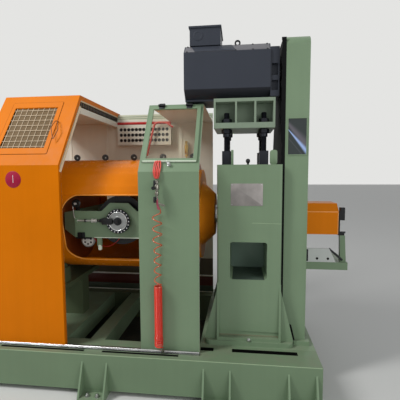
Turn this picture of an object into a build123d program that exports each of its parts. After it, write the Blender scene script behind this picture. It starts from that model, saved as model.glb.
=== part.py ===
"""Tubular stranding machine for wire rope: bed, guards with sliding hoods, rotating tube with
bobbin cradles, drive pedestal with motor and belt, and the take-off bracket.

Origin: machine axis over the floor, at the middle of the drive pedestal. +X towards the take-off
end, +Y away from the operator, +Z up. Millimetres.
"""
from build123d import *
import math
import os

os.makedirs("parts", exist_ok=True)

# whole machine
AXIS_Z = 1180.0
BAYS = 3
BAY_PITCH = 1170.0
SHEET = 10.0
RUN = 5.0

# bed
BED_HALF = 688.0
BED_TOP = 290.0
BED_CLEAR = 34.0
BED_RIGHT = 462.0
BEAM_WIDTH = 208.0
BEAM_WALL = 16.0
HEAD_PLATE_LEFT = -345.0
HEAD_PLATE_T = 30.0
CROSS_WIDTH = 110.0
CROSS_DEPTH = 140.0
CROSS_OFFSETS = (-141.0, -430.0)
SLOT_WIDTH = 14.0
SLOT_LINE = 645.0
SLOT_FIRST = (-1008.0, -473.0)
SLOT_LENGTH = 621.0
SLOT_GAP = 131.0
SLOT_COUNT = 5
HEAD_SLOT_LINE = 536.0
HEAD_SLOT_WIDTH = 28.0
HEAD_SLOT_RANGES = ((-334.0, -243.0), (-114.0, 328.0))
FOOT_PAIR = 162.0
FOOT_REACH = 80.0
FOOT_RIB = 12.0
FOOT_PLATE = 20.0
FOOT_TOP_DROP = 55.0
MID_FOOT_HALF = 80.0
ANCHOR_R = 11.0
ANCHOR_SPACING = 70.0
ANCHOR_REACH = 45.0
TRAY_T = 4.0
FOOT_CENTRES = (-4180.0, -3387.0, -2217.0, -1047.0, -211.0, 338.0)

# guards and hoods, seen along X as (y, z) corners
GUARD_FRONT = 595.0
GUARD_FOOT = 298.0
GUARD_KNEE = 1528.0
RIDGE_Y = -263.0
GUARD_RIDGE = 2028.0
GUARD_BAR = 40.0
HEAD_GUARD = (-745.0, -333.0)
OPENING = 546.0
HOOD_FRONT = 622.0
HOOD_FOOT = 309.8
HOOD_KNEE_RISE = 49.0
HOOD_RIDGE = 2120.0
HOOD_LENGTH = 614.0
HOOD_TRAVEL = 538.0
HOOD_REAR_FOOT = 1990.0
HOOD_LINING_FRONT = 9.0
HOOD_LINING_SLOPE = 22.0
HOOD_LINING_ROOF = 38.0
HOOD_FRAME_WIDTH = 40.0
LINING_REAR = 552.0
WINDOW_WIDTH = 343.0
WINDOW_FROM_KNEE = 92.4
WINDOW_TO_RIDGE = 44.4
WINDOW_RIM = 18.0
WINDOW_RIM_T = 12.0
PANE_T = 6.0
MESH_WIDTH = 348.0
MESH_FROM_KNEE = 136.6
MESH_TO_RIDGE = 123.5
MESH_OFFSET = -15.0
WIRE = 4.0
MESH_BACK_T = 3.0
MESH_COLUMNS = 7
MESH_ROWS = 7

# rear wall
POST_TOP = 450.0
POST_T = 30.0
WALL_T = 8.0
RAIL_TOP = 2104.0
RAIL_DEPTH = 22.0
POST_WIDTH = 60.0
POST_PITCH = 585.0
RAIL_INSET = 40.0
RAIL_STRIP = (585.0, 630.0)
RAIL_BAR_Y = 617.0
RAIL_BAR_R = 6.0
RAIL_SINK = 0.5

# rotating tube
TUBE_R = 450.0
TUBE_WALL = 12.0
TUBE_RIGHT = -410.0
BAY_CENTRE = -969.0
WINDOW_HALF = 411.0
WINDOW_TILT = -12.25
WINDOW_HALF_ANGLE = 35.25
WINDOW_CORNER = 130.0
BULKHEAD_T = 20.0
BULKHEAD_GAP = 70.0
BOSS_R = 90.0
BOSS_LENGTH = 50.0
NECK_R = 365.0
NECK_LENGTH = 43.0
CONE_BIG = 265.0
CONE_SMALL = 168.0
CONE_LENGTH = 103.0
SHAFT_R = 75.0
SHAFT_END = 5.0
TAIL_SHAFT = 270.0
STAND_HALF_X = 130.0
STAND_HALF_Y = 60.0
STAND_TOP = 640.0
SADDLE_HALF_Y = 300.0
SADDLE_T = 40.0
ROLLER_R = 60.0
ROLLER_HALF = 80.0
ROLLER_ANGLE = 30.0
ROLLER_PIN_R = 22.0
CHEEK_T = 16.0
CHEEK_HALF = 55.0
GUIDE_FIRST = -439.0
GUIDE_PITCH = 243.0
GUIDE_COUNT = 15
GUIDE_WIDTH = 40.0
GUIDE_HEIGHT = 48.0
GUIDE_R = 17.0
GUIDE_SINK = 1.0

# cradle and bobbin
CRADLE_Y = 352.0
CRADLE_WALL = 16.0
CRADLE_LOW = -153.0
CRADLE_HIGH = 53.0
CRADLE_PEAK = 115.0
CRADLE_SIDE = 352.0
CRADLE_END = 462.0
CRADLE_END_Y = 305.0
CRADLE_NOSE = (55.0, 18.0)
JOURNAL_R = 40.0
JOURNAL_LENGTH = 65.0
PEAK_HALF = (139.0, 71.0)
PIN_CLEAR = 0.1
BOBBIN_DROP = 20.0
BOBBIN_R = 190.0
BOBBIN_HALF = 300.0
BOBBIN_FLANGE = 14.0
BOBBIN_CORE = 150.0
SPINDLE_R = 20.0
DISC_R = 92.0
DISC_T = 10.0
DISC_GAP = 22.0
SHEAVE_R = 52.0
SHEAVE_AT = (-264.0, -180.0)
SHEAVE_Y = (-330.0, -312.0)
SHEAVE_PIN_R = 8.0
SHEAVE_GROOVE = 7.0
HANGER_HALF = 22.0
HANGER_T = 8.0
TAB_X = -162.0
TAB_HALF = 18.0
TAB_DROP = 62.0
DISC_HUB_R = 34.0
DISC_HOLES = 12
DISC_HOLE_R = 6.0
DISC_HOLE_RING = 62.0
JAW_T = 9.0
JAW_DEPTH = 22.0
JAW_REACH = 32.0
JAW_HALF = 24.0
ARM_LENGTH = 32.0
ARM_T = 16.0
ARM_HALF = 12.0
ROD_LENGTH = 110.0
ROD_R = 5.0
NUT_R = 10.0
NUT_T = 9.0

# drive pedestal
PED_HALF_X = 225.0
PED_HALF_Y = 433.0
PED_TOP = 1575.0
SOLE_T = 32.0
SOLE_OVER = 35.0
FOOT_SPREAD = 88.0
PED_CORNER = 12.0
SOLE_CORNER = 42.0
OPEN_X = -3.0
OPEN_WIDTH = 260.0
OPEN_Z = (762.0, 1031.0)
OPEN_CORNER = 20.0
OPEN_DEPTH = 420.0
PLINTH_Z = (345.0, 384.0)
PLINTH_DEPTH = 8.0
RIB_T = 14.0
RIB_OUT = 26.0
RIB_TOP = 735.0
GUSSET_TOP = 744.0

# tail bearing
TAIL_GAP = 60.0
TAIL_LENGTH = 180.0
TAIL_FOOT = 240.0
TAIL_HEAD = 150.0

# motor and its base
BASE_X = (-252.0, 177.0)
BASE_Y = (-370.0, -10.0)
BASE_Z = (1832.0, 2040.0)
BASE_FLANGE = 39.0
BASE_TOP_T = 24.0
STUD_R = 20.0
STUD_X = (-162.0, 102.0)
STUD_Y = (-320.0, -60.0)
MOTOR_X = (-468.0, 143.0)
MOTOR_SIDE = 390.0
MOTOR_HIGH = 378.0
MOTOR_FEET = ((-468.0, -152.0), (57.0, 143.0))
MOTOR_FOOT_T = 12.0
MOTOR_FRONT = -350.0
SHIELD_LENGTH = 61.0
BLOWER_X = (-430.0, -209.0)
BLOWER_TOP = 2566.0
BLOWER_Y = (-305.0, -45.0)
BLOWER_CAP = (14.0, 7.0)
BASE_WEB_T = 14.0
WEB_INSET = 100.0
RIB_X = (-102.0, 32.0)
STUD_TOP = 1945.0
COLLAR_R = 34.0
COLLAR_T = 32.0
JACK_HALF = 32.0
JACK_BLOCK = 100.0
MOTOR_CORNER = 62.0
SHIELD_INSET = 10.0
SHIELD_Z = (2052.0, 2390.0)
POCKETS_Z = ((2094.0, 2162.0), (2196.0, 2276.0))
POCKET_INSET = 8.0
POCKET_DEPTH = 24.0
MOTOR_SHAFT_R = 30.0

# belt drive
BELT_GUARD_X = (243.0, 402.0)
BELT_GUARD_Y = (-390.0, 300.0)
BELT_GUARD_Z = (322.0, 2448.0)
MAIN_PULLEY_R = 240.0
MOTOR_PULLEY_R = 90.0
PULLEY_X = (290.0, 380.0)
BELT_T = 12.0
BELT_GAP = 0.3
GROOVES = 4
GROOVE_PITCH = 20.0
GROOVE_DEPTH = 12.0
BELT_GUARD_TOP_REAR = 60.0
BELT_GUARD_SHOULDER = 1700.0
BELT_GUARD_CORNER = 70.0
BELT_WINDOW_X = (262.0, 386.0)
BELT_WINDOW_Z = (1642.0, 1888.0)
BELT_FOOT_X = 320.0
BELT_FOOT_OUT = 28.0
BACK_T = 16.0

# take-off bracket
BRACKET_LENGTH = 348.0
BRACKET_Z = (777.0, 835.0)
BRACKET_HALF = 170.0
COVER_LENGTH = 278.0
COVER_HALF = 150.0
COVER_Z = (1046.0, 1280.0)
COVER_BEVEL = 55.0
POST_FOOT = (700.0, 742.0)
POST_HEAD = (694.0, 730.0)
POST_HEAD_Z = 1040.0
RAKE_T = 40.0
PLATE_X = (440.0, 612.0, 662.0)
PLATE_TOP = 941.0
PLATE_T = 14.0
END_T = 12.0
END_Z = (1056.0, 1225.0)
KNOB_LENGTH = 34.0
KNOB_Y = (-150.0, -110.0)
KNOB_Z = (1155.0, 1253.0)

# rear wall fittings
BOX_FRONT = 530.0
BOX_Z = (1798.0, 2000.0)
VENT_R = 13.0
VENT_DEPTH = 12.0
VENT_PITCH = (42.7, 53.0)
VENT_COUNT = (12, 3)
PULL_R = 14.0

# hose on the head guard
HOSE_X = -608.0
HOSE_R = 30.0
HOSE_Z = (330.0, 1340.0)
HOSE_GAP = 4.0
FITTING_HALF = 18.0
FITTING_LENGTH = 133.0

# derived
BED_LEFT = HEAD_GUARD[0] - BAYS * BAY_PITCH - 80.0
BAY_CENTRES = [BAY_CENTRE - bay * BAY_PITCH for bay in range(BAYS)]
TUBE_LEFT = BAY_CENTRES[-1] - WINDOW_HALF - (TUBE_RIGHT - BAY_CENTRE - WINDOW_HALF)
STAND_CENTRES = [(a + b) / 2 for a, b in zip(BAY_CENTRES, BAY_CENTRES[1:])]
AXIS = Axis((0, 0, AXIS_Z), (1, 0, 0))
AXIS_PLANE = Plane(origin=(0, 0, AXIS_Z), x_dir=(1, 0, 0), z_dir=(0, -1, 0))
GUARDS = [HEAD_GUARD]
for bay in range(BAYS):
    right = HEAD_GUARD[0] - OPENING - bay * BAY_PITCH
    GUARDS.append((right - (BAY_PITCH - OPENING), right))
HOODS = [(guard[1] - HOOD_LENGTH, guard[1]) for guard in GUARDS[1:]]
MOTOR_Y = MOTOR_FRONT + MOTOR_SIDE / 2
MOTOR_LOW = BASE_Z[1] + MOTOR_FOOT_T
MOTOR_Z = MOTOR_LOW + MOTOR_HIGH / 2
BRACKET_X = (BELT_GUARD_X[1], BELT_GUARD_X[1] + BRACKET_LENGTH)
COVER_X = (BELT_GUARD_X[1], BELT_GUARD_X[1] + COVER_LENGTH)


def block(x, y, z, mode=Mode.ADD):
    """A box between two limits on each axis."""
    with Locations(((x[0] + x[1]) / 2, (y[0] + y[1]) / 2, (z[0] + z[1]) / 2)):
        Box(x[1] - x[0], y[1] - y[0], z[1] - z[0], mode=mode)


def bar_x(x, y, z, radius, mode=Mode.ADD):
    """A round bar along X."""
    with Locations(((x[0] + x[1]) / 2, y, z)):
        Cylinder(radius, x[1] - x[0], rotation=(0, 90, 0), mode=mode)


def bar_y(x, y, z, radius, mode=Mode.ADD):
    """A round bar along Y."""
    with Locations((x, (y[0] + y[1]) / 2, z)):
        Cylinder(radius, y[1] - y[0], rotation=(90, 0, 0), mode=mode)


def bar_z(x, y, z, radius, mode=Mode.ADD):
    """A round bar along Z."""
    with Locations((x, y, (z[0] + z[1]) / 2)):
        Cylinder(radius, z[1] - z[0], mode=mode)


def save(name, part):
    """Label one piece and write it."""
    part.label = name
    export_step(part, f"parts/{name}.step")


def slope_plane(front, knee, ridge, x):
    """A plane on the sloping panel: local x along X, local y up the slope, normal outwards."""
    return Plane(origin=(x, -front, knee), x_dir=(1, 0, 0),
                 z_dir=(0, -(ridge - knee), RIDGE_Y + front))


def slope_length(front, knee, ridge):
    """Length of the sloping panel from the knee to the ridge."""
    return math.hypot(RIDGE_Y + front, ridge - knee)


def section(corners, depths):
    """A folded sheet seen along X: the corner line and the same line moved inwards, side by side."""
    inner = []
    lines = []
    for (y0, z0), (y1, z1), depth in zip(corners, corners[1:], depths):
        size = math.hypot(y1 - y0, z1 - z0)
        dy, dz = (y1 - y0) / size, (z1 - z0) / size
        lines.append((y0 + dz * depth, z0 - dy * depth, dy, dz))
    inner.append(lines[0][:2])
    for (ya, za, ua, va), (yb, zb, ub, vb) in zip(lines, lines[1:]):
        cross = ua * vb - va * ub
        along = ((yb - ya) * vb - (zb - za) * ub) / cross
        inner.append((ya + ua * along, za + va * along))
    last_y, last_z = corners[-1]
    ya, za, ua, va = lines[-1]
    along = (last_y - ya) * ua + (last_z - za) * va
    inner.append((ya + ua * along, za + va * along))
    return inner


def sector(start, end, reach):
    """Corners of a wedge round the machine axis, angles from the operator's side upwards."""
    middle = math.radians((start + end) / 2)
    first, last = math.radians(start), math.radians(end)
    points = [(0.0, 0.0)]
    for angle in (first, middle, last):
        points.append((-reach * math.cos(angle), reach * math.sin(angle)))
    return points


def tilted(x, angle):
    """A plane through the machine axis facing out at an angle, local x along X."""
    turn = math.radians(angle)
    return Plane(origin=(x, 0, AXIS_Z), x_dir=(1, 0, 0),
                 z_dir=(0, -math.cos(turn), math.sin(turn)))


HOOD_KNEE = GUARD_KNEE + HOOD_KNEE_RISE
GUARD_LINE = [(-GUARD_FRONT, GUARD_FOOT), (-GUARD_FRONT, GUARD_KNEE), (RIDGE_Y, GUARD_RIDGE),
              (GUARD_FRONT - WALL_T, GUARD_RIDGE)]
HOOD_LINE = [(-HOOD_FRONT, HOOD_FOOT), (-HOOD_FRONT, HOOD_KNEE), (RIDGE_Y, HOOD_RIDGE),
             (HOOD_FRONT, HOOD_RIDGE), (HOOD_FRONT, HOOD_REAR_FOOT)]
SHAFT_HOLE_R = SHAFT_R + RUN

# bed: two box beams, cross beams, a plate under the drive and the feet
BED_SLOTS = [SLOT_FIRST]
for number in range(SLOT_COUNT):
    right = BED_SLOTS[-1][0] - SLOT_GAP
    BED_SLOTS.append((right - SLOT_LENGTH, right))

with BuildPart() as bed_front_beam:
    block((BED_LEFT, BED_RIGHT), (-BED_HALF, BEAM_WIDTH - BED_HALF), (BED_CLEAR, BED_TOP))
    block((BED_LEFT + BEAM_WALL, BED_RIGHT - BEAM_WALL),
          (BEAM_WALL - BED_HALF, BEAM_WIDTH - BED_HALF - BEAM_WALL),
          (BED_CLEAR + BEAM_WALL, BED_TOP - BEAM_WALL), mode=Mode.SUBTRACT)
    for ends in BED_SLOTS:
        block((max(ends[0], BED_LEFT + BEAM_WALL), ends[1]),
              (-SLOT_LINE - SLOT_WIDTH / 2, -SLOT_LINE + SLOT_WIDTH / 2),
              (BED_TOP - 2 * BEAM_WALL, BED_TOP), mode=Mode.SUBTRACT)
    for ends in HEAD_SLOT_RANGES:
        block(ends, (-HEAD_SLOT_LINE - HEAD_SLOT_WIDTH / 2, -HEAD_SLOT_LINE + HEAD_SLOT_WIDTH / 2),
              (BED_TOP - 2 * BEAM_WALL, BED_TOP), mode=Mode.SUBTRACT)
save("bed_front_beam", bed_front_beam.part)

POST_COUNT = int((HEAD_GUARD[1] - BED_LEFT) // POST_PITCH) + 1
with BuildPart() as bed_rear_beam:
    block((BED_LEFT, BED_RIGHT), (BED_HALF - BEAM_WIDTH, BED_HALF), (BED_CLEAR, BED_TOP))
    for number in range(POST_COUNT):
        x = HEAD_GUARD[1] - POST_WIDTH / 2 - number * POST_PITCH
        block((x - POST_WIDTH / 2, x + POST_WIDTH / 2),
              (GUARD_FRONT, GUARD_FRONT + POST_T), (BED_TOP, POST_TOP))
save("bed_rear_beam", bed_rear_beam.part)

with BuildPart() as bed_crossbeams:
    for centre in BAY_CENTRES:
        for offset_x in CROSS_OFFSETS:
            x = centre + offset_x
            block((x - CROSS_WIDTH / 2, x + CROSS_WIDTH / 2),
                  (BEAM_WIDTH - BED_HALF, BED_HALF - BEAM_WIDTH), (BED_TOP - CROSS_DEPTH, BED_TOP))
    block((BED_LEFT, TUBE_LEFT - STAND_HALF_X), (BEAM_WIDTH - BED_HALF, BED_HALF - BEAM_WIDTH),
          (BED_TOP - CROSS_DEPTH, BED_TOP))
    for x in STAND_CENTRES:
        block((x - STAND_HALF_X, x + STAND_HALF_X),
              (BEAM_WIDTH - BED_HALF, BED_HALF - BEAM_WIDTH), (BED_TOP - CROSS_DEPTH, BED_TOP))
save("bed_crossbeams", bed_crossbeams.part)

with BuildPart() as drip_tray:
    block((BED_LEFT, HEAD_PLATE_LEFT), (BEAM_WIDTH - BED_HALF, BED_HALF - BEAM_WIDTH),
          (BED_CLEAR, BED_CLEAR + TRAY_T))
save("drip_tray", drip_tray.part)

with BuildPart() as bed_head_plate:
    block((HEAD_PLATE_LEFT, BED_RIGHT), (BEAM_WIDTH - BED_HALF, BED_HALF - BEAM_WIDTH),
          (BED_TOP - HEAD_PLATE_T, BED_TOP))
save("bed_head_plate", bed_head_plate.part)

FOOT_HIGH = BED_TOP - FOOT_TOP_DROP
with BuildPart() as bed_feet:
    for x in FOOT_CENTRES:
        for side in (-1, 1):
            outer = side * (BED_HALF + FOOT_REACH)
            inner = side * (BED_HALF - BEAM_WIDTH / 2)
            half = FOOT_PAIR / 2 + FOOT_RIB
            block((x - half, x + half), (min(outer, inner), max(outer, inner)), (0, FOOT_PLATE))
            face = side * BED_HALF
            block((x - half, x + half), (min(face, inner), max(face, inner)),
                  (FOOT_PLATE, BED_CLEAR))
            for rib in (x - FOOT_PAIR / 2 - FOOT_RIB, x + FOOT_PAIR / 2):
                with BuildSketch(Plane.YZ.offset(rib)):
                    with BuildLine():
                        Polyline((face, FOOT_PLATE), (outer, FOOT_PLATE), (face, FOOT_HIGH),
                                 close=True)
                    make_face()
                extrude(amount=FOOT_RIB)
            for shift in (-ANCHOR_SPACING / 2, ANCHOR_SPACING / 2):
                bar_z(x + shift, side * (BED_HALF + ANCHOR_REACH), (0, FOOT_PLATE), ANCHOR_R,
                      mode=Mode.SUBTRACT)
    block((-MID_FOOT_HALF, MID_FOOT_HALF), (-MID_FOOT_HALF, MID_FOOT_HALF),
          (0, BED_TOP - HEAD_PLATE_T))
save("bed_feet", bed_feet.part)

# rails and the rear wall
with BuildPart() as slide_rail:
    block((BED_LEFT + RAIL_INSET, HEAD_GUARD[1]), (-RAIL_STRIP[1], -RAIL_STRIP[0]),
          (BED_TOP, GUARD_FOOT))
    bar_x((BED_LEFT + RAIL_INSET, HEAD_GUARD[1]), -RAIL_BAR_Y, GUARD_FOOT + RAIL_BAR_R - RAIL_SINK,
          RAIL_BAR_R)
save("slide_rail", slide_rail.part)

WALL_X = (GUARDS[-1][0], HEAD_GUARD[1])
with BuildPart() as rear_wall:
    block(WALL_X, (GUARD_FRONT - WALL_T, GUARD_FRONT), (BED_TOP, RAIL_TOP))
save("rear_wall", rear_wall.part)

with BuildPart() as rear_top_rail:
    block(WALL_X, (GUARD_FRONT - WALL_T - RAIL_DEPTH, GUARD_FRONT - WALL_T),
          (GUARD_RIDGE, RAIL_TOP))
save("rear_top_rail", rear_top_rail.part)

# fixed guards: folded sheets with a window in the slope
GUARD_INSIDE = section(GUARD_LINE, (SHEET,) * 3)
GUARD_SLOPE = slope_length(GUARD_FRONT, GUARD_KNEE, GUARD_RIDGE)
MID_S = (WINDOW_FROM_KNEE + GUARD_SLOPE - WINDOW_TO_RIDGE) / 2
WINDOW_HEIGHT = GUARD_SLOPE - WINDOW_TO_RIDGE - WINDOW_FROM_KNEE
GUARD_CENTRES = [(guard[0] + guard[1]) / 2 for guard in GUARDS]

with BuildPart() as guard_head:
    with BuildSketch(Plane.YZ.offset(HEAD_GUARD[0])):
        with BuildLine():
            Polyline(*GUARD_LINE, *reversed(GUARD_INSIDE), close=True)
        make_face()
    extrude(amount=HEAD_GUARD[1] - HEAD_GUARD[0])
    with BuildSketch(slope_plane(GUARD_FRONT, GUARD_KNEE, GUARD_RIDGE, GUARD_CENTRES[0])):
        with Locations((0, MID_S)):
            Rectangle(WINDOW_WIDTH, WINDOW_HEIGHT)
    extrude(amount=2 * SHEET, both=True, mode=Mode.SUBTRACT)
save("guard_head", guard_head.part)

with BuildPart() as guard_bays:
    for guard, x in zip(GUARDS[1:], GUARD_CENTRES[1:]):
        with BuildSketch(Plane.YZ.offset(guard[0])):
            with BuildLine():
                Polyline(*GUARD_LINE, *reversed(GUARD_INSIDE), close=True)
            make_face()
        extrude(amount=guard[1] - guard[0])
        with BuildSketch(slope_plane(GUARD_FRONT, GUARD_KNEE, GUARD_RIDGE, x)):
            with Locations((0, MID_S)):
                Rectangle(WINDOW_WIDTH, WINDOW_HEIGHT)
        extrude(amount=2 * SHEET, both=True, mode=Mode.SUBTRACT)
        for start in (guard[0], guard[1] - GUARD_BAR):
            block((start, start + GUARD_BAR), (RIDGE_Y, GUARD_FRONT - WALL_T),
                  (GUARD_RIDGE - SHEET - GUARD_BAR, GUARD_RIDGE - SHEET))
save("guard_bays", guard_bays.part)

with BuildPart() as window_frames:
    for x in GUARD_CENTRES:
        with BuildSketch(slope_plane(GUARD_FRONT, GUARD_KNEE, GUARD_RIDGE, x)):
            with Locations((0, MID_S)):
                Rectangle(WINDOW_WIDTH + 2 * WINDOW_RIM, WINDOW_HEIGHT + 2 * WINDOW_RIM)
                Rectangle(WINDOW_WIDTH - WINDOW_RIM, WINDOW_HEIGHT - WINDOW_RIM,
                          mode=Mode.SUBTRACT)
        extrude(amount=WINDOW_RIM_T)
save("window_frames", window_frames.part)

with BuildPart() as window_panes:
    for x in GUARD_CENTRES:
        with BuildSketch(slope_plane(GUARD_FRONT, GUARD_KNEE, GUARD_RIDGE, x)):
            with Locations((0, MID_S)):
                Rectangle(WINDOW_WIDTH, WINDOW_HEIGHT)
        extrude(amount=-PANE_T)
save("window_panes", window_panes.part)

# sliding hoods: skin, stiffening frames at both ends and a window of welded mesh
HOOD_INSIDE = section(HOOD_LINE, (SHEET,) * 4)
LINING_OUT = HOOD_INSIDE[:3] + [(LINING_REAR, HOOD_INSIDE[3][1])]
LINING_IN = section(LINING_OUT, (HOOD_LINING_FRONT, HOOD_LINING_SLOPE, HOOD_LINING_ROOF))
HOOD_SLOPE = slope_length(HOOD_FRONT, HOOD_KNEE, HOOD_RIDGE)
MESH_MID_S = (MESH_FROM_KNEE + HOOD_SLOPE - MESH_TO_RIDGE) / 2
MESH_HEIGHT = HOOD_SLOPE - MESH_TO_RIDGE - MESH_FROM_KNEE

for number, ends in enumerate(HOODS, start=1):
    with BuildPart() as hood:
        with BuildSketch(Plane.YZ.offset(ends[0])):
            with BuildLine():
                Polyline(*HOOD_LINE, *reversed(HOOD_INSIDE), close=True)
            make_face()
        extrude(amount=ends[1] - ends[0])
        for start in (ends[0], ends[1] - HOOD_FRAME_WIDTH):
            with BuildSketch(Plane.YZ.offset(start)):
                with BuildLine():
                    Polyline(*LINING_OUT, *reversed(LINING_IN), close=True)
                make_face()
            extrude(amount=HOOD_FRAME_WIDTH)
        middle = (ends[0] + ends[1]) / 2 + MESH_OFFSET
        with BuildSketch(slope_plane(HOOD_FRONT, HOOD_KNEE, HOOD_RIDGE, middle)):
            with Locations((0, MESH_MID_S)):
                Rectangle(MESH_WIDTH, MESH_HEIGHT)
        extrude(amount=2 * SHEET, both=True, mode=Mode.SUBTRACT)
    save(f"hood_{number}", hood.part)

    with BuildPart() as hood_mesh:
        back = slope_plane(HOOD_FRONT, HOOD_KNEE, HOOD_RIDGE, middle).offset(-SHEET)
        with BuildSketch(back):
            with Locations((0, MESH_MID_S)):
                Rectangle(MESH_WIDTH, MESH_HEIGHT)
        extrude(amount=MESH_BACK_T)
        with BuildSketch(back.offset(MESH_BACK_T)):
            with Locations((0, MESH_MID_S)):
                with GridLocations(MESH_WIDTH / MESH_COLUMNS, 0, MESH_COLUMNS - 1, 1):
                    Rectangle(WIRE, MESH_HEIGHT)
                with GridLocations(0, MESH_HEIGHT / MESH_ROWS, 1, MESH_ROWS - 1):
                    Rectangle(MESH_WIDTH, WIRE)
        extrude(amount=WIRE)
    save(f"hood_mesh_{number}", hood_mesh.part)

# rotating tube: two curved shells, the walls between the windows, bulkheads, neck and shafts
TOP_SECTOR = (WINDOW_TILT + WINDOW_HALF_ANGLE, WINDOW_TILT + 180.0 - WINDOW_HALF_ANGLE)
FRONT_SECTOR = (WINDOW_TILT - WINDOW_HALF_ANGLE, WINDOW_TILT + WINDOW_HALF_ANGLE)
TUBE_START = Plane(origin=(TUBE_LEFT, 0, AXIS_Z), x_dir=(0, 1, 0), z_dir=(1, 0, 0))
TUBE_LENGTH = TUBE_RIGHT - TUBE_LEFT

with BuildPart() as rotor_shells:
    for turn in (0.0, 180.0):
        with BuildSketch(TUBE_START):
            Circle(TUBE_R)
            Circle(TUBE_R - TUBE_WALL, mode=Mode.SUBTRACT)
            with BuildLine():
                Polyline(*sector(TOP_SECTOR[0] + turn, TOP_SECTOR[1] + turn, 2 * TUBE_R),
                         close=True)
            make_face(mode=Mode.INTERSECT)
        extrude(amount=TUBE_LENGTH)
save("rotor_shells", rotor_shells.part)

WINDOW_CHORD = 2 * TUBE_R * math.sin(math.radians(WINDOW_HALF_ANGLE)) + TUBE_WALL / 3
with BuildPart() as rotor_panels:
    for turn in (0.0, 180.0):
        with BuildSketch(TUBE_START):
            Circle(TUBE_R)
            Circle(TUBE_R - TUBE_WALL, mode=Mode.SUBTRACT)
            with BuildLine():
                Polyline(*sector(FRONT_SECTOR[0] + turn, FRONT_SECTOR[1] + turn, 2 * TUBE_R),
                         close=True)
            make_face(mode=Mode.INTERSECT)
        extrude(amount=TUBE_LENGTH)
    for centre in BAY_CENTRES:
        with BuildSketch(tilted(centre, WINDOW_TILT)):
            RectangleRounded(2 * WINDOW_HALF, WINDOW_CHORD, WINDOW_CORNER)
        extrude(amount=2 * TUBE_R, both=True, mode=Mode.SUBTRACT)
save("rotor_panels", rotor_panels.part)

with BuildPart() as rotor_bulkheads:
    for centre in BAY_CENTRES:
        for side in (-1, 1):
            face = centre + side * (WINDOW_HALF + BULKHEAD_GAP)
            back = face + side * BULKHEAD_T
            boss = face + side * BOSS_LENGTH
            bar_x((min(face, back), max(face, back)), 0, AXIS_Z, TUBE_R - TUBE_WALL)
            bar_x((min(face, boss), max(face, boss)), 0, AXIS_Z, BOSS_R)
            bar_x((min(face, boss), max(face, boss)), 0, AXIS_Z, JOURNAL_R + PIN_CLEAR,
                  mode=Mode.SUBTRACT)
    for x in (TUBE_LEFT, TUBE_RIGHT - BULKHEAD_T):
        bar_x((x, x + BULKHEAD_T), 0, AXIS_Z, TUBE_R - TUBE_WALL)
save("rotor_bulkheads", rotor_bulkheads.part)

NECK_END = TUBE_RIGHT + NECK_LENGTH
CONE_END = NECK_END + CONE_LENGTH
with BuildPart() as rotor_neck:
    with BuildSketch(AXIS_PLANE):
        with BuildLine():
            Polyline((TUBE_RIGHT, 0), (TUBE_RIGHT, NECK_R), (NECK_END, NECK_R),
                     (NECK_END, CONE_BIG), (CONE_END, CONE_SMALL), (CONE_END, 0), close=True)
        make_face()
    revolve(axis=AXIS)
save("rotor_neck", rotor_neck.part)

with BuildPart() as rotor_shafts:
    bar_x((CONE_END, PULLEY_X[1] + SHAFT_END), 0, AXIS_Z, SHAFT_R)
    bar_x((TUBE_LEFT - TAIL_SHAFT, TUBE_LEFT), 0, AXIS_Z, SHAFT_R)
save("rotor_shafts", rotor_shafts.part)

with BuildPart() as wire_guides:
    for number in range(GUIDE_COUNT):
        x = GUIDE_FIRST - number * GUIDE_PITCH
        if min(abs(x - stand) for stand in STAND_CENTRES) < ROLLER_HALF + GUIDE_WIDTH:
            continue
        for turn in (90.0, 270.0):
            seat = tilted(x, WINDOW_TILT + turn).offset(TUBE_R - GUIDE_SINK)
            with BuildSketch(seat):
                Rectangle(GUIDE_WIDTH, GUIDE_WIDTH * 2 / 3)
            extrude(amount=GUIDE_SINK + GUIDE_HEIGHT - 2 * GUIDE_R)
            with BuildSketch(seat.offset(GUIDE_SINK + GUIDE_HEIGHT - 2 * GUIDE_R)):
                Circle(GUIDE_R)
            extrude(amount=2 * GUIDE_R)
    bar_x((TUBE_LEFT, TUBE_RIGHT), 0, AXIS_Z, TUBE_R, mode=Mode.SUBTRACT)
save("wire_guides", wire_guides.part)

with BuildPart() as main_pulley:
    with BuildSketch(AXIS_PLANE):
        with BuildLine():
            Polyline((PULLEY_X[0], SHAFT_R), (PULLEY_X[0], MAIN_PULLEY_R),
                     *[(PULLEY_X[0] + (step + 1) * GROOVE_PITCH / 2,
                        MAIN_PULLEY_R - (GROOVE_DEPTH if step % 2 else 0.0))
                       for step in range(2 * GROOVES)],
                     (PULLEY_X[1], MAIN_PULLEY_R), (PULLEY_X[1], SHAFT_R), close=True)
        make_face()
    revolve(axis=AXIS)
save("main_pulley", main_pulley.part)

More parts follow.
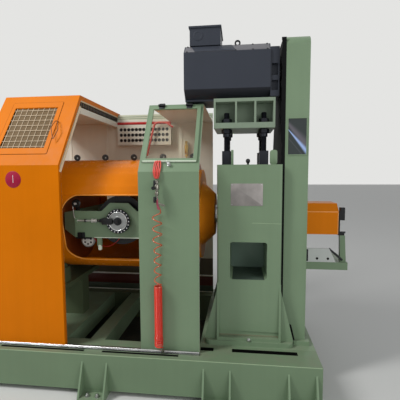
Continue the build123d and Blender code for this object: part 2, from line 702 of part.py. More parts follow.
# cradles: a closed frame of plates with two journals, carrying the bobbin, its brake and a sheave
for number, centre in enumerate(BAY_CENTRES, start=1):
    bobbin_z = AXIS_Z - BOBBIN_DROP
    with BuildPart() as cradle:
        with BuildSketch(Plane.XY.offset(AXIS_Z + CRADLE_LOW)):
            with BuildLine():
                Polyline((centre - CRADLE_END, -CRADLE_END_Y), (centre - CRADLE_SIDE, -CRADLE_Y),
                         (centre + CRADLE_SIDE, -CRADLE_Y), (centre + CRADLE_END, -CRADLE_END_Y),
                         (centre + CRADLE_END, CRADLE_END_Y), (centre + CRADLE_SIDE, CRADLE_Y),
                         (centre - CRADLE_SIDE, CRADLE_Y), (centre - CRADLE_END, CRADLE_END_Y),
                         close=True)
            make_face()
            offset(amount=-CRADLE_WALL, kind=Kind.INTERSECTION, mode=Mode.SUBTRACT)
        extrude(amount=CRADLE_HIGH - CRADLE_LOW)
        with BuildSketch(Plane.XZ.offset(CRADLE_Y)):
            for side in (-1, 1):
                for level, rise in zip((CRADLE_LOW, CRADLE_HIGH), (1, -1)):
                    cut = rise * CRADLE_NOSE[0 if rise > 0 else 1]
                    with BuildLine():
                        Polyline((centre + side * CRADLE_SIDE, AXIS_Z + level),
                                 (centre + side * CRADLE_END, AXIS_Z + level),
                                 (centre + side * CRADLE_END, AXIS_Z + level + cut), close=True)
                    make_face()
        extrude(amount=-2 * CRADLE_Y, mode=Mode.SUBTRACT)
        for face in (CRADLE_Y, CRADLE_WALL - CRADLE_Y):
            with BuildSketch(Plane.XZ.offset(-face)):
                with BuildLine():
                    Polyline((centre - PEAK_HALF[0], AXIS_Z + CRADLE_HIGH),
                             (centre - PEAK_HALF[1], AXIS_Z + CRADLE_PEAK),
                             (centre + PEAK_HALF[1], AXIS_Z + CRADLE_PEAK),
                             (centre + PEAK_HALF[0], AXIS_Z + CRADLE_HIGH), close=True)
                make_face()
            extrude(amount=CRADLE_WALL)
        for side in (-1, 1):
            bar_x((centre + min(side * CRADLE_END, side * (CRADLE_END + JOURNAL_LENGTH)),
                   centre + max(side * CRADLE_END, side * (CRADLE_END + JOURNAL_LENGTH))),
                  0, AXIS_Z, JOURNAL_R)
        bar_y(centre, (-2 * CRADLE_Y, 2 * CRADLE_Y), bobbin_z, SPINDLE_R + PIN_CLEAR,
              mode=Mode.SUBTRACT)
        # brake caliper round the disc's rim, its arm and the tension rod with lock nuts
        jaw = centre - DISC_R - RUN
        disc_back = CRADLE_Y + DISC_GAP
        jaw_front = disc_back + DISC_T + RUN + JAW_T
        block((jaw - JAW_DEPTH, jaw), (-jaw_front, -CRADLE_Y),
              (bobbin_z - JAW_HALF, bobbin_z + JAW_HALF))
        block((jaw, jaw + JAW_REACH), (-jaw_front, JAW_T - jaw_front),
              (bobbin_z - JAW_HALF, bobbin_z + JAW_HALF))
        block((jaw, jaw + JAW_REACH), (RUN - disc_back, -CRADLE_Y),
              (bobbin_z - JAW_HALF, bobbin_z + JAW_HALF))
        block((jaw - JAW_DEPTH - ARM_LENGTH, jaw - JAW_DEPTH), (-CRADLE_Y - ARM_T, -CRADLE_Y),
              (bobbin_z - ARM_HALF, bobbin_z + ARM_HALF))
        rod_end = jaw - JAW_DEPTH - ARM_LENGTH
        rod_y = -CRADLE_Y - ARM_T / 2
        bar_x((rod_end - ROD_LENGTH, rod_end), rod_y, bobbin_z, ROD_R)
        bar_x((rod_end - 2 * NUT_T, rod_end - NUT_T), rod_y, bobbin_z, NUT_R)
        block((rod_end - ROD_LENGTH - NUT_T, rod_end - ROD_LENGTH),
              (-CRADLE_Y - ARM_T, -CRADLE_Y), (bobbin_z - ARM_HALF, bobbin_z + ARM_HALF))
        # hanger and pin of the guide sheave
        sheave_x = centre + SHEAVE_AT[0]
        sheave_z = AXIS_Z + SHEAVE_AT[1]
        sheave_back = SHEAVE_Y[1] + RUN
        hanger_z = sheave_z + SHEAVE_R + RUN
        block((sheave_x - HANGER_HALF, sheave_x + HANGER_HALF),
              (sheave_back, sheave_back + HANGER_T), (sheave_z - HANGER_HALF, hanger_z + HANGER_T))
        block((sheave_x - HANGER_HALF, sheave_x + HANGER_HALF),
              (CRADLE_WALL - CRADLE_Y, sheave_back + HANGER_T), (hanger_z, hanger_z + HANGER_T))
        bar_y(sheave_x, (SHEAVE_Y[0], sheave_back), sheave_z, SHEAVE_PIN_R)
        # bracket plate for the wire exit
        block((centre + TAB_X - TAB_HALF, centre + TAB_X + TAB_HALF),
              (-CRADLE_Y, CRADLE_WALL - CRADLE_Y),
              (AXIS_Z + CRADLE_LOW - TAB_DROP, AXIS_Z + CRADLE_LOW))
    save(f"cradle_{number}", cradle.part)

    with BuildPart() as bobbin:
        for face in (-BOBBIN_HALF, BOBBIN_HALF - BOBBIN_FLANGE):
            bar_y(centre, (face, face + BOBBIN_FLANGE), bobbin_z, BOBBIN_R)
        bar_y(centre, (-BOBBIN_HALF, BOBBIN_HALF), bobbin_z, BOBBIN_CORE)
        bar_y(centre, (-disc_back - DISC_T, CRADLE_Y + CRADLE_WALL), bobbin_z, SPINDLE_R)
    save(f"bobbin_{number}", bobbin.part)

    with BuildPart() as brake_disc:
        bar_y(centre, (-disc_back - DISC_T, -disc_back), bobbin_z, DISC_R)
        bar_y(centre, (-disc_back, RUN - disc_back), bobbin_z, DISC_HUB_R)
        bar_y(centre, (-disc_back - DISC_T, RUN - disc_back), bobbin_z, SPINDLE_R,
              mode=Mode.SUBTRACT)
        with Locations(Plane(origin=(centre, -disc_back - DISC_T, bobbin_z),
                             x_dir=(1, 0, 0), z_dir=(0, -1, 0))):
            with PolarLocations(DISC_HOLE_RING, DISC_HOLES):
                Hole(DISC_HOLE_R, DISC_T)
    save(f"brake_disc_{number}", brake_disc.part)

    with BuildPart() as guide_sheave:
        sheave_plane = Plane(origin=(sheave_x, SHEAVE_Y[0], sheave_z),
                             x_dir=(1, 0, 0), z_dir=(0, -1, 0))
        width = SHEAVE_Y[1] - SHEAVE_Y[0]
        with BuildSketch(Plane(origin=(sheave_x, SHEAVE_Y[0], sheave_z), x_dir=(1, 0, 0),
                               z_dir=(0, 0, 1))):
            with BuildLine():
                Polyline((SHEAVE_PIN_R + PIN_CLEAR, 0), (SHEAVE_R, 0),
                         (SHEAVE_R, width / 4), (SHEAVE_R - SHEAVE_GROOVE, width / 2),
                         (SHEAVE_R, width * 3 / 4), (SHEAVE_R, width),
                         (SHEAVE_PIN_R + PIN_CLEAR, width), close=True)
            make_face()
        revolve(axis=Axis((sheave_x, 0, sheave_z), (0, 1, 0)))
    save(f"guide_sheave_{number}", guide_sheave.part)

# drive pedestal on its sole plate
with BuildPart() as pedestal:
    block((-PED_HALF_X, PED_HALF_X), (-PED_HALF_Y, PED_HALF_Y), (BED_TOP + SOLE_T, PED_TOP))
    fillet(pedestal.edges().filter_by(Axis.Z), radius=PED_CORNER)
    with BuildSketch(Plane.XZ.offset(PED_HALF_Y)):
        with Locations((OPEN_X, (OPEN_Z[0] + OPEN_Z[1]) / 2)):
            RectangleRounded(OPEN_WIDTH, OPEN_Z[1] - OPEN_Z[0], OPEN_CORNER)
    extrude(amount=-OPEN_DEPTH, mode=Mode.SUBTRACT)
    block((-PED_HALF_X + RIB_T, PED_HALF_X - RIB_T), (-PED_HALF_Y, PLINTH_DEPTH - PED_HALF_Y),
          PLINTH_Z, mode=Mode.SUBTRACT)
    bar_x((-2 * PED_HALF_X, 2 * PED_HALF_X), 0, AXIS_Z, SHAFT_HOLE_R, mode=Mode.SUBTRACT)
    for side in (-1, 1):
        for depth in (-PED_HALF_Y + RIB_T, PED_HALF_Y - PED_CORNER):
            with BuildSketch(Plane.XZ.offset(-depth)):
                with BuildLine():
                    Polyline((side * (PED_HALF_X - RIB_T), BED_TOP + SOLE_T),
                             (side * (PED_HALF_X + FOOT_SPREAD), BED_TOP + SOLE_T),
                             (side * (PED_HALF_X + FOOT_SPREAD), BED_TOP + SOLE_T + RIB_T),
                             (side * (PED_HALF_X - RIB_T), GUSSET_TOP), close=True)
                make_face()
            extrude(amount=RIB_T)
        with BuildSketch(Plane.YZ.offset(side * PED_HALF_X - (RIB_T if side > 0 else 0.0))):
            with BuildLine():
                Polyline((-PED_HALF_Y, BED_TOP + SOLE_T), (-PED_HALF_Y - RIB_OUT, BED_TOP + SOLE_T),
                         (-PED_HALF_Y, RIB_TOP), close=True)
            make_face()
        extrude(amount=RIB_T)
    block((-PED_HALF_X, PED_HALF_X), (-PED_HALF_Y - RIB_OUT, -PED_HALF_Y),
          (BED_TOP + SOLE_T, PLINTH_Z[0]))
save("pedestal", pedestal.part)

with BuildPart() as pedestal_sole:
    block((-PED_HALF_X - FOOT_SPREAD, PED_HALF_X + FOOT_SPREAD),
          (-PED_HALF_Y - SOLE_OVER, PED_HALF_Y + SOLE_OVER), (BED_TOP, BED_TOP + SOLE_T))
    fillet(pedestal_sole.edges().filter_by(Axis.Z), radius=SOLE_CORNER)
save("pedestal_sole", pedestal_sole.part)

# tail bearing and the roller stands under the tube
with BuildPart() as tail_pedestal:
    with BuildSketch(Plane.YZ.offset(TUBE_LEFT - TAIL_GAP - TAIL_LENGTH)):
        with BuildLine():
            Polyline((-TAIL_FOOT, BED_TOP), (TAIL_FOOT, BED_TOP), (TAIL_HEAD, AXIS_Z),
                     (TAIL_HEAD, AXIS_Z + TAIL_HEAD), (-TAIL_HEAD, AXIS_Z + TAIL_HEAD),
                     (-TAIL_HEAD, AXIS_Z), close=True)
        make_face()
    extrude(amount=TAIL_LENGTH)
    bar_x((TUBE_LEFT - TAIL_SHAFT * 2, TUBE_LEFT), 0, AXIS_Z, SHAFT_R + PIN_CLEAR,
          mode=Mode.SUBTRACT)
save("tail_pedestal", tail_pedestal.part)

ROLLER_REACH = TUBE_R + RUN + ROLLER_R
ROLLER_Y = ROLLER_REACH * math.sin(math.radians(ROLLER_ANGLE))
ROLLER_Z = AXIS_Z - ROLLER_REACH * math.cos(math.radians(ROLLER_ANGLE))
with BuildPart() as support_stands:
    for x in STAND_CENTRES:
        block((x - STAND_HALF_X, x + STAND_HALF_X), (-STAND_HALF_Y, STAND_HALF_Y),
              (BED_TOP, STAND_TOP - SADDLE_T))
        block((x - STAND_HALF_X, x + STAND_HALF_X), (-SADDLE_HALF_Y, SADDLE_HALF_Y),
              (STAND_TOP - SADDLE_T, STAND_TOP))
        for side in (-1, 1):
            for cheek in (-ROLLER_HALF - RUN - CHEEK_T, ROLLER_HALF + RUN):
                block((x + cheek, x + cheek + CHEEK_T),
                      (side * ROLLER_Y - CHEEK_HALF, side * ROLLER_Y + CHEEK_HALF),
                      (STAND_TOP, ROLLER_Z + ROLLER_PIN_R))
            bar_x((x - ROLLER_HALF - RUN, x + ROLLER_HALF + RUN), side * ROLLER_Y, ROLLER_Z,
                  ROLLER_PIN_R)
            bar_x((x - ROLLER_HALF, x + ROLLER_HALF), side * ROLLER_Y, ROLLER_Z, ROLLER_R)
save("support_stands", support_stands.part)

# motor base: two flanges, a web box between them and two ribs, on four jacking studs
with BuildPart() as motor_base:
    block(BASE_X, BASE_Y, (BASE_Z[0], BASE_Z[0] + BASE_FLANGE))
    block(BASE_X, BASE_Y, (BASE_Z[1] - BASE_TOP_T, BASE_Z[1]))
    block((BASE_X[0] + BASE_WEB_T, BASE_X[1] - BASE_WEB_T),
          (BASE_Y[0] + WEB_INSET, BASE_Y[1] - WEB_INSET), (BASE_Z[0], BASE_Z[1]))
    for x in (*RIB_X, BASE_X[0], BASE_X[1] - BASE_WEB_T):
        block((x, x + BASE_WEB_T), BASE_Y, (BASE_Z[0], BASE_Z[1]))
    for x in STUD_X:
        for y in STUD_Y:
            bar_z(x, y, (BASE_Z[0], BASE_Z[0] + BASE_FLANGE), STUD_R, mode=Mode.SUBTRACT)
save("motor_base", motor_base.part)

with BuildPart() as jack_studs:
    for x in STUD_X:
        for y in STUD_Y:
            bar_z(x, y, (PED_TOP, STUD_TOP), STUD_R)
            bar_z(x, y, (BASE_Z[0] - COLLAR_T, BASE_Z[0]), COLLAR_R)
            bar_z(x, y, (BASE_Z[0] + BASE_FLANGE, BASE_Z[0] + BASE_FLANGE + COLLAR_T), COLLAR_R)
            block((x - JACK_HALF, x + JACK_HALF), (y - JACK_HALF, y + JACK_HALF),
                  (PED_TOP, PED_TOP + JACK_BLOCK))
save("jack_studs", jack_studs.part)

with BuildPart() as motor_frame:
    block(MOTOR_X, (MOTOR_FRONT, MOTOR_FRONT + MOTOR_SIDE), (MOTOR_LOW, MOTOR_LOW + MOTOR_HIGH))
    chamfer(motor_frame.edges().filter_by(Axis.X), length=MOTOR_CORNER)
    for foot in MOTOR_FEET:
        block(foot, (MOTOR_FRONT + MOTOR_CORNER, MOTOR_FRONT + MOTOR_SIDE - MOTOR_CORNER),
              (BASE_Z[1], MOTOR_LOW))
    shield = (MOTOR_FRONT + SHIELD_INSET, MOTOR_FRONT + MOTOR_SIDE - SHIELD_INSET)
    block((MOTOR_X[1], MOTOR_X[1] + SHIELD_LENGTH), shield, SHIELD_Z)
    for levels in POCKETS_Z:
        for inner, outer in ((shield[0] + POCKET_DEPTH, shield[0]),
                             (shield[1] - POCKET_DEPTH, shield[1])):
            block((MOTOR_X[1] + POCKET_INSET, MOTOR_X[1] + SHIELD_LENGTH - POCKET_INSET),
                  (min(inner, outer), max(inner, outer)), levels, mode=Mode.SUBTRACT)
save("motor_frame", motor_frame.part)

with BuildPart() as motor_blower:
    block(BLOWER_X, BLOWER_Y, (MOTOR_LOW + MOTOR_HIGH, BLOWER_TOP))
    block((BLOWER_X[0] - BLOWER_CAP[1], BLOWER_X[1] + BLOWER_CAP[1]),
          (BLOWER_Y[0] - BLOWER_CAP[1], BLOWER_Y[1] + BLOWER_CAP[1]),
          (BLOWER_TOP - BLOWER_CAP[0], BLOWER_TOP))
save("motor_blower", motor_blower.part)

MOTOR_AXIS = Axis((0, MOTOR_Y, MOTOR_Z), (1, 0, 0))
with BuildPart() as motor_pulley:
    with BuildSketch(Plane(origin=(0, MOTOR_Y, MOTOR_Z), x_dir=(1, 0, 0), z_dir=(0, -1, 0))):
        with BuildLine():
            Polyline((MOTOR_X[1] + SHIELD_LENGTH + PIN_CLEAR, 0),
                     (MOTOR_X[1] + SHIELD_LENGTH + PIN_CLEAR, MOTOR_SHAFT_R),
                     (PULLEY_X[0], MOTOR_SHAFT_R), (PULLEY_X[0], MOTOR_PULLEY_R),
                     *[(PULLEY_X[0] + (step + 1) * GROOVE_PITCH / 2,
                        MOTOR_PULLEY_R - (GROOVE_DEPTH if step % 2 else 0.0))
                       for step in range(2 * GROOVES)],
                     (PULLEY_X[1], MOTOR_PULLEY_R), (PULLEY_X[1], 0), close=True)
        make_face()
    revolve(axis=MOTOR_AXIS)
save("motor_pulley", motor_pulley.part)

# belt drive: one fixed loop, its guard with a window and the plate behind it
with BuildPart() as belt_loop:
    for gap, mode in ((BELT_GAP + BELT_T, Mode.ADD), (BELT_GAP, Mode.SUBTRACT)):
        with BuildSketch(Plane.YZ.offset(PULLEY_X[0] + GROOVE_PITCH / 4)):
            with Locations((0, AXIS_Z)):
                Circle(MAIN_PULLEY_R + gap)
            with Locations((MOTOR_Y, MOTOR_Z)):
                Circle(MOTOR_PULLEY_R + gap)
            make_hull()
        extrude(amount=PULLEY_X[1] - PULLEY_X[0] - GROOVE_PITCH / 2, mode=mode)
save("belt_loop", belt_loop.part)

BELT_OUTLINE = ((BELT_GUARD_Y[0], BELT_GUARD_Z[0]), (BELT_GUARD_Y[0], BELT_GUARD_Z[1]),
                (BELT_GUARD_TOP_REAR, BELT_GUARD_Z[1]), (BELT_GUARD_Y[1], BELT_GUARD_SHOULDER),
                (BELT_GUARD_Y[1], BELT_GUARD_Z[0]))
BELT_INSIDE = ((BELT_GUARD_Y[0] + SHEET, BELT_GUARD_Z[0] - SHEET),
               (BELT_GUARD_Y[0] + SHEET, BELT_GUARD_Z[1] - SHEET),
               (BELT_GUARD_TOP_REAR - SHEET / 2, BELT_GUARD_Z[1] - SHEET),
               (BELT_GUARD_Y[1] - SHEET, BELT_GUARD_SHOULDER - SHEET / 2),
               (BELT_GUARD_Y[1] - SHEET, BELT_GUARD_Z[0] - SHEET))
with BuildPart() as belt_guard:
    with BuildSketch(Plane.YZ.offset(BELT_GUARD_X[0])):
        with BuildLine():
            Polyline(*BELT_OUTLINE, close=True)
        make_face()
        fillet(vertices().group_by(Axis.Y)[-1], radius=BELT_GUARD_CORNER)
    extrude(amount=BELT_GUARD_X[1] - BELT_GUARD_X[0])
    with BuildSketch(Plane.YZ.offset(BELT_GUARD_X[0])):
        with BuildLine():
            Polyline(*BELT_INSIDE, close=True)
        make_face()
        fillet(vertices().group_by(Axis.Y)[-1], radius=BELT_GUARD_CORNER - SHEET)
    extrude(amount=BELT_GUARD_X[1] - BELT_GUARD_X[0] - SHEET, mode=Mode.SUBTRACT)
    block(BELT_WINDOW_X, (2 * BELT_GUARD_Y[0], BELT_GUARD_Y[0] + SHEET), BELT_WINDOW_Z,
          mode=Mode.SUBTRACT)
    block((BELT_FOOT_X, BELT_GUARD_X[1] + BELT_FOOT_OUT),
          (BELT_GUARD_Y[0] - BELT_FOOT_OUT, BELT_GUARD_Y[1]), (BED_TOP, BED_TOP + SOLE_T))
save("belt_guard", belt_guard.part)

with BuildPart() as belt_guard_back:
    with BuildSketch(Plane.YZ.offset(BELT_GUARD_X[0] - BACK_T)):
        with BuildLine():
            Polyline(*BELT_OUTLINE, close=True)
        make_face()
        fillet(vertices().group_by(Axis.Y)[-1], radius=BELT_GUARD_CORNER)
    extrude(amount=BACK_T)
    bar_x((0, PULLEY_X[0]), 0, AXIS_Z, SHAFT_HOLE_R, mode=Mode.SUBTRACT)
    bar_x((0, PULLEY_X[0]), MOTOR_Y, MOTOR_Z, MOTOR_SHAFT_R + RUN, mode=Mode.SUBTRACT)
save("belt_guard_back", belt_guard_back.part)

with BuildPart() as belt_guard_pane:
    block((BELT_WINDOW_X[0], BELT_WINDOW_X[1]),
          (BELT_GUARD_Y[0], BELT_GUARD_Y[0] + PANE_T), BELT_WINDOW_Z)
save("belt_guard_pane", belt_guard_pane.part)

# take-off bracket with its cover
with BuildPart() as take_off_bracket:
    block(BRACKET_X, (-BRACKET_HALF, BRACKET_HALF), BRACKET_Z)
    block((BRACKET_X[0], BRACKET_X[0] + SHEET), (-BRACKET_HALF, BRACKET_HALF),
          (BRACKET_Z[1], COVER_Z[0]))
    with BuildSketch(Plane.XZ.offset(COVER_HALF)):
        with BuildLine():
            Polyline((POST_FOOT[0], BRACKET_Z[1]), (POST_FOOT[1], BRACKET_Z[1]),
                     (POST_HEAD[1], POST_HEAD_Z), (POST_HEAD[0], POST_HEAD_Z), close=True)
        make_face()
    extrude(amount=-RAKE_T)
save("take_off_bracket", take_off_bracket.part)

with BuildPart() as take_off_plate:
    with BuildSketch(Plane.XZ.offset(BRACKET_HALF)):
        with BuildLine():
            Polyline((PLATE_X[0], BRACKET_Z[1]), (PLATE_X[2], BRACKET_Z[1]),
                     (PLATE_X[1], PLATE_TOP), (PLATE_X[0], PLATE_TOP), close=True)
        make_face()
    extrude(amount=-PLATE_T)
save("take_off_plate", take_off_plate.part)

with BuildPart() as take_off_cover:
    block(COVER_X, (-COVER_HALF, COVER_HALF), COVER_Z)
    chamfer(take_off_cover.edges().filter_by(Axis.X).group_by(Axis.Z)[-1], length=COVER_BEVEL)
    block((COVER_X[0], COVER_X[1]), (SHEET - COVER_HALF, COVER_HALF - SHEET),
          (COVER_Z[0], COVER_Z[1] - COVER_BEVEL), mode=Mode.SUBTRACT)
save("take_off_cover", take_off_cover.part)

with BuildPart() as take_off_end:
    block((COVER_X[1], COVER_X[1] + END_T), (-COVER_HALF, COVER_HALF), END_Z)
    block((COVER_X[1] + END_T, COVER_X[1] + END_T + KNOB_LENGTH), KNOB_Y, KNOB_Z)
    block((COVER_X[1], COVER_X[1] + END_T + KNOB_LENGTH),
          (-COVER_HALF, RAKE_T - COVER_HALF), (POST_HEAD_Z, END_Z[0]))
save("take_off_end", take_off_end.part)

# pieces on the rear wall in each opening
OPENINGS = [(guard[1], guard[1] + OPENING) for guard in GUARDS[1:]]
with BuildPart() as vent_boxes:
    for ends in OPENINGS:
        block(ends, (BOX_FRONT, GUARD_FRONT - WALL_T), BOX_Z)
        with Locations(Plane(origin=((ends[0] + ends[1]) / 2, BOX_FRONT, (BOX_Z[0] + BOX_Z[1]) / 2),
                             x_dir=(1, 0, 0), z_dir=(0, -1, 0))):
            with GridLocations(VENT_PITCH[0], VENT_PITCH[1], VENT_COUNT[0], VENT_COUNT[1]):
                Hole(VENT_R, VENT_DEPTH)
save("vent_boxes", vent_boxes.part)

with BuildPart() as pull_bars:
    for ends in OPENINGS:
        bar_x(ends, BOX_FRONT + PULL_R, BOX_Z[1] + PULL_R, PULL_R)
save("pull_bars", pull_bars.part)

# coiled air hose on the head guard: the space its coils fill
with BuildPart() as air_hose:
    bar_z(HOSE_X, -GUARD_FRONT - HOSE_GAP - HOSE_R, HOSE_Z, HOSE_R)
save("air_hose", air_hose.part)

with BuildPart() as hose_fittings:
    block((HOSE_X - FITTING_HALF, HOSE_X + FITTING_HALF),
          (-GUARD_FRONT - HOSE_GAP - HOSE_R - FITTING_HALF, -GUARD_FRONT),
          (HOSE_Z[1], HOSE_Z[1] + FITTING_LENGTH))
save("hose_fittings", hose_fittings.part)
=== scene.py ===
"""Tubular stranding machine for wire rope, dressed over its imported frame.

The sections follow the machine as it is put together: floor and light, bed, rear wall, guards,
hoods, hose, tube, cradles, pedestal, motor, belt drive and take-off. Metres throughout, but turned
profiles and bolts are in millimetres. The machine axis lies 1.18 over the floor, +X to the
take-off end and +Y away from the operator.
"""
import math

import bmesh
import bpy
import numpy as np
from mathutils import Matrix, Vector


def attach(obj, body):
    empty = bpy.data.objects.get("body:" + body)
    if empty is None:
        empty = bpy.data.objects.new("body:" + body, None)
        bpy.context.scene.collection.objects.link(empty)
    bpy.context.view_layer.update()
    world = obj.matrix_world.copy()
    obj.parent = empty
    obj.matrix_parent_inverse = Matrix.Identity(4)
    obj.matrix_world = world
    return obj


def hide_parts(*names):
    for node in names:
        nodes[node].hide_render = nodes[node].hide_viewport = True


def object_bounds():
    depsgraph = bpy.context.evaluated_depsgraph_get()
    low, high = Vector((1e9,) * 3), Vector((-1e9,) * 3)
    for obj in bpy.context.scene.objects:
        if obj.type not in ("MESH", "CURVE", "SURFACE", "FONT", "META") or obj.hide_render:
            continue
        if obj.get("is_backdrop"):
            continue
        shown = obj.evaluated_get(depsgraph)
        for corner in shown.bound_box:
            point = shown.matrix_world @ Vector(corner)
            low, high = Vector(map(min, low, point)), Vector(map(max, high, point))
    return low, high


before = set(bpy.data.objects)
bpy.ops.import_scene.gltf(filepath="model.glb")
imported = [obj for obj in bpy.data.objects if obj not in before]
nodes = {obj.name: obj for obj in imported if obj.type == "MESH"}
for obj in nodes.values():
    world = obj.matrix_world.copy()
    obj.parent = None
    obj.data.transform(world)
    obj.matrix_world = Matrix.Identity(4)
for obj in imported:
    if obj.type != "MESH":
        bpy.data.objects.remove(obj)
cad_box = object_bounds()

# Floor, light and camera: a pale studio with broad soft light from above, as from the roof
# lights of a hall. The camera stands at the operator's side where the photograph was taken.
STUDIO_PALE = "#E4E4E2"
FLOOR_PALE = "#CFCFCC"
FLOOR_REACH = 40


def linear(code):
    """sRGB hex to linear light: c / 12.92 near black, else ((c + 0.055) / 1.055) to the 2.4."""
    parts = np.array([int(code[i:i + 2], 16) for i in (1, 3, 5)]) / 255.0
    bright = ((parts + 0.055) / 1.055) ** 2.4
    return (*np.where(parts <= 0.04045, parts / 12.92, bright).tolist(), 1.0)


def feed(node, sockets):
    """Sockets by name or in order: each gets a value, a colour where its code is given, or a link
    where an output is given; a node stands for its first output in use."""
    for name, value in sockets.items() if isinstance(sockets, dict) else enumerate(sockets):
        if isinstance(value, str):
            value = linear(value)
        if isinstance(value, bpy.types.Node):
            value = next(output for output in value.outputs if output.enabled)
        if isinstance(value, bpy.types.NodeSocket):
            node.id_data.links.new(value, node.inputs[name])
        else:
            node.inputs[name].default_value = value
    return node


def add(tree, kind, sockets=(), **settings):
    """One shader node of this kind, with its settings and its sockets."""
    node = tree.nodes.new("ShaderNode" + kind)
    for name, value in settings.items():
        setattr(node, name, value)
    return feed(node, sockets)


def material(name):
    """A new finish with its node tree and shader."""
    finish = bpy.data.materials.new(name)
    finish.use_nodes = True
    return finish, finish.node_tree, finish.node_tree.nodes["Principled BSDF"]


def placed(name, data):
    """A new object that holds the data, linked to the scene."""
    piece = bpy.data.objects.new(name, data)
    bpy.context.scene.collection.objects.link(piece)
    return piece


studio = bpy.data.worlds.new("studio")
studio.use_nodes = True
tree = studio.node_tree
tree.nodes.clear()
rays = add(tree, "LightPath").outputs
through = add(tree, "Math", [rays["Is Camera Ray"], rays["Is Transmission Ray"]],
              operation="MAXIMUM")
seen = add(tree, "Math", [through, rays["Is Glossy Ray"]], operation="MAXIMUM")
lit = add(tree, "Background", ["#F4F7FB", 0.38])
shown = add(tree, "Background", [STUDIO_PALE, 1.0])
add(tree, "OutputWorld", [add(tree, "MixShader", [seen, lit, shown])])
bpy.context.scene.world = studio

ground = bpy.data.meshes.new("studio_floor")
ground.from_pydata([(FLOOR_REACH * x, FLOOR_REACH * y, 0)
                    for x, y in ((-1, -1), (1, -1), (1, 1), (-1, 1))], [], [(0, 1, 2, 3)])
floor_paint, tree, shader = material("studio_floor_paint")
feed(shader, {"Base Color": FLOOR_PALE, "Roughness": 0.6})
ground.materials.append(floor_paint)
placed("studio_floor", ground)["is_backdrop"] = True

for name, place, size, power, aim in (
        ("roof_light", (-4.3, -2.6, 5.6), (1.0, 3.4), 275.0, (-1.2, 0.0, 1.3)),
        ("window_light", (4.6, -5.4, 3.2), (5.0, 4.0), 140.0, (0.0, 0.0, 1.2))):
    lamp = bpy.data.lights.new(name, "AREA")
    lamp.shape = "RECTANGLE"
    lamp.size, lamp.size_y = size
    lamp.energy = power
    holder = placed(name, lamp)
    holder.location = place
    holder.rotation_euler = (Vector(aim) - Vector(place)).to_track_quat("-Z", "Y").to_euler()

CAMERA_PLACE = (-0.0693, -2.791, 1.521)
CAMERA_YAW, CAMERA_PITCH, CAMERA_ROLL = 6.67, 4.65, -0.25
CAMERA_LENS, CAMERA_SENSOR = 30.33, 36.0
lens = bpy.data.cameras.new("operator_view")
lens.sensor_width = CAMERA_SENSOR
lens.lens = CAMERA_LENS
lens.clip_start, lens.clip_end = 0.05, 200.0
camera = placed("operator_view", lens)
camera.location = CAMERA_PLACE
yaw, tilt, roll = (Matrix.Rotation(math.radians(angle), 3, axis) for angle, axis in (
    (CAMERA_YAW, "Z"), (90 - CAMERA_PITCH, "X"), (CAMERA_ROLL, "Z")))
camera.rotation_euler = (yaw @ tilt @ roll).to_euler()
bpy.context.scene.camera = camera
bpy.context.scene.view_settings.view_transform = "Standard"


# Bed: two long box beams, cross beams and outrigger feet, welded of steel plate and sprayed with
# sage green alkyd enamel. M16 anchor bolts hold the feet down through washers and nuts.
SAGE = "#798F72"
DUST = "#7F7A6C"
RIGHT, LEFT, BACK, FRONT, UP = (1, 0, 0), (-1, 0, 0), (0, 1, 0), (0, -1, 0), (0, 0, 1)
FEET_X = (-4.18, -3.387, -2.217, -1.047, -0.211, 0.338)


def surface(name, grids, closed=False, crease=35.0):
    """A mesh from grids of points (pieces, rows, columns, xyz): each cell is a quad and every row
    runs round into itself. Closed joins the last row to the first, and else the end rows are
    capped. Edges that turn over crease stay sharp."""
    grids = np.asarray(grids, dtype=float)
    grids = grids[None] if grids.ndim == 3 else grids
    numbers = np.arange(grids.size // 3).reshape(grids.shape[:3])
    net = np.concatenate([numbers, numbers[:, :1]], axis=1) if closed else numbers
    net = np.concatenate([net, net[:, :, :1]], axis=2)
    corners = [net[:, :-1, :-1], net[:, :-1, 1:], net[:, 1:, 1:], net[:, 1:, :-1]]
    faces = np.stack(corners, axis=-1).reshape(-1, 4).tolist()
    if not closed:
        faces += numbers[:, 0, ::-1].tolist() + numbers[:, -1].tolist()
    mesh = bpy.data.meshes.new(name)
    mesh.from_pydata(grids.reshape(-1, 3).tolist(), [], faces)
    shape = bmesh.new()
    shape.from_mesh(mesh)
    bmesh.ops.remove_doubles(shape, verts=shape.verts, dist=1e-6)
    bmesh.ops.dissolve_degenerate(shape, edges=shape.edges, dist=1e-7)
    bmesh.ops.recalc_face_normals(shape, faces=shape.faces)
    for edge in shape.edges:
        edge.smooth = len(edge.link_faces) == 2 and edge.calc_face_angle() < math.radians(crease)
    for face in shape.faces:
        face.smooth = True
    shape.to_mesh(mesh)
    shape.free()
    return placed(name, mesh)


def fitted(piece, finish, body="bed", *stands_for, slot=None):
    """The piece gets its finish, rides on its body and replaces the CAD nodes it stands for."""
    piece.data.materials.append(finish)
    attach(piece, body)
    if stands_for:
        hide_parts(*stands_for)
    return piece


def fit_all(body, *rows, tail=""):
    """Pieces on one body: each row has a make, a name, a finish and what that make takes."""
    for make, name, finish, *shape in rows:
        fitted(make(name + tail, *shape), finish, body)


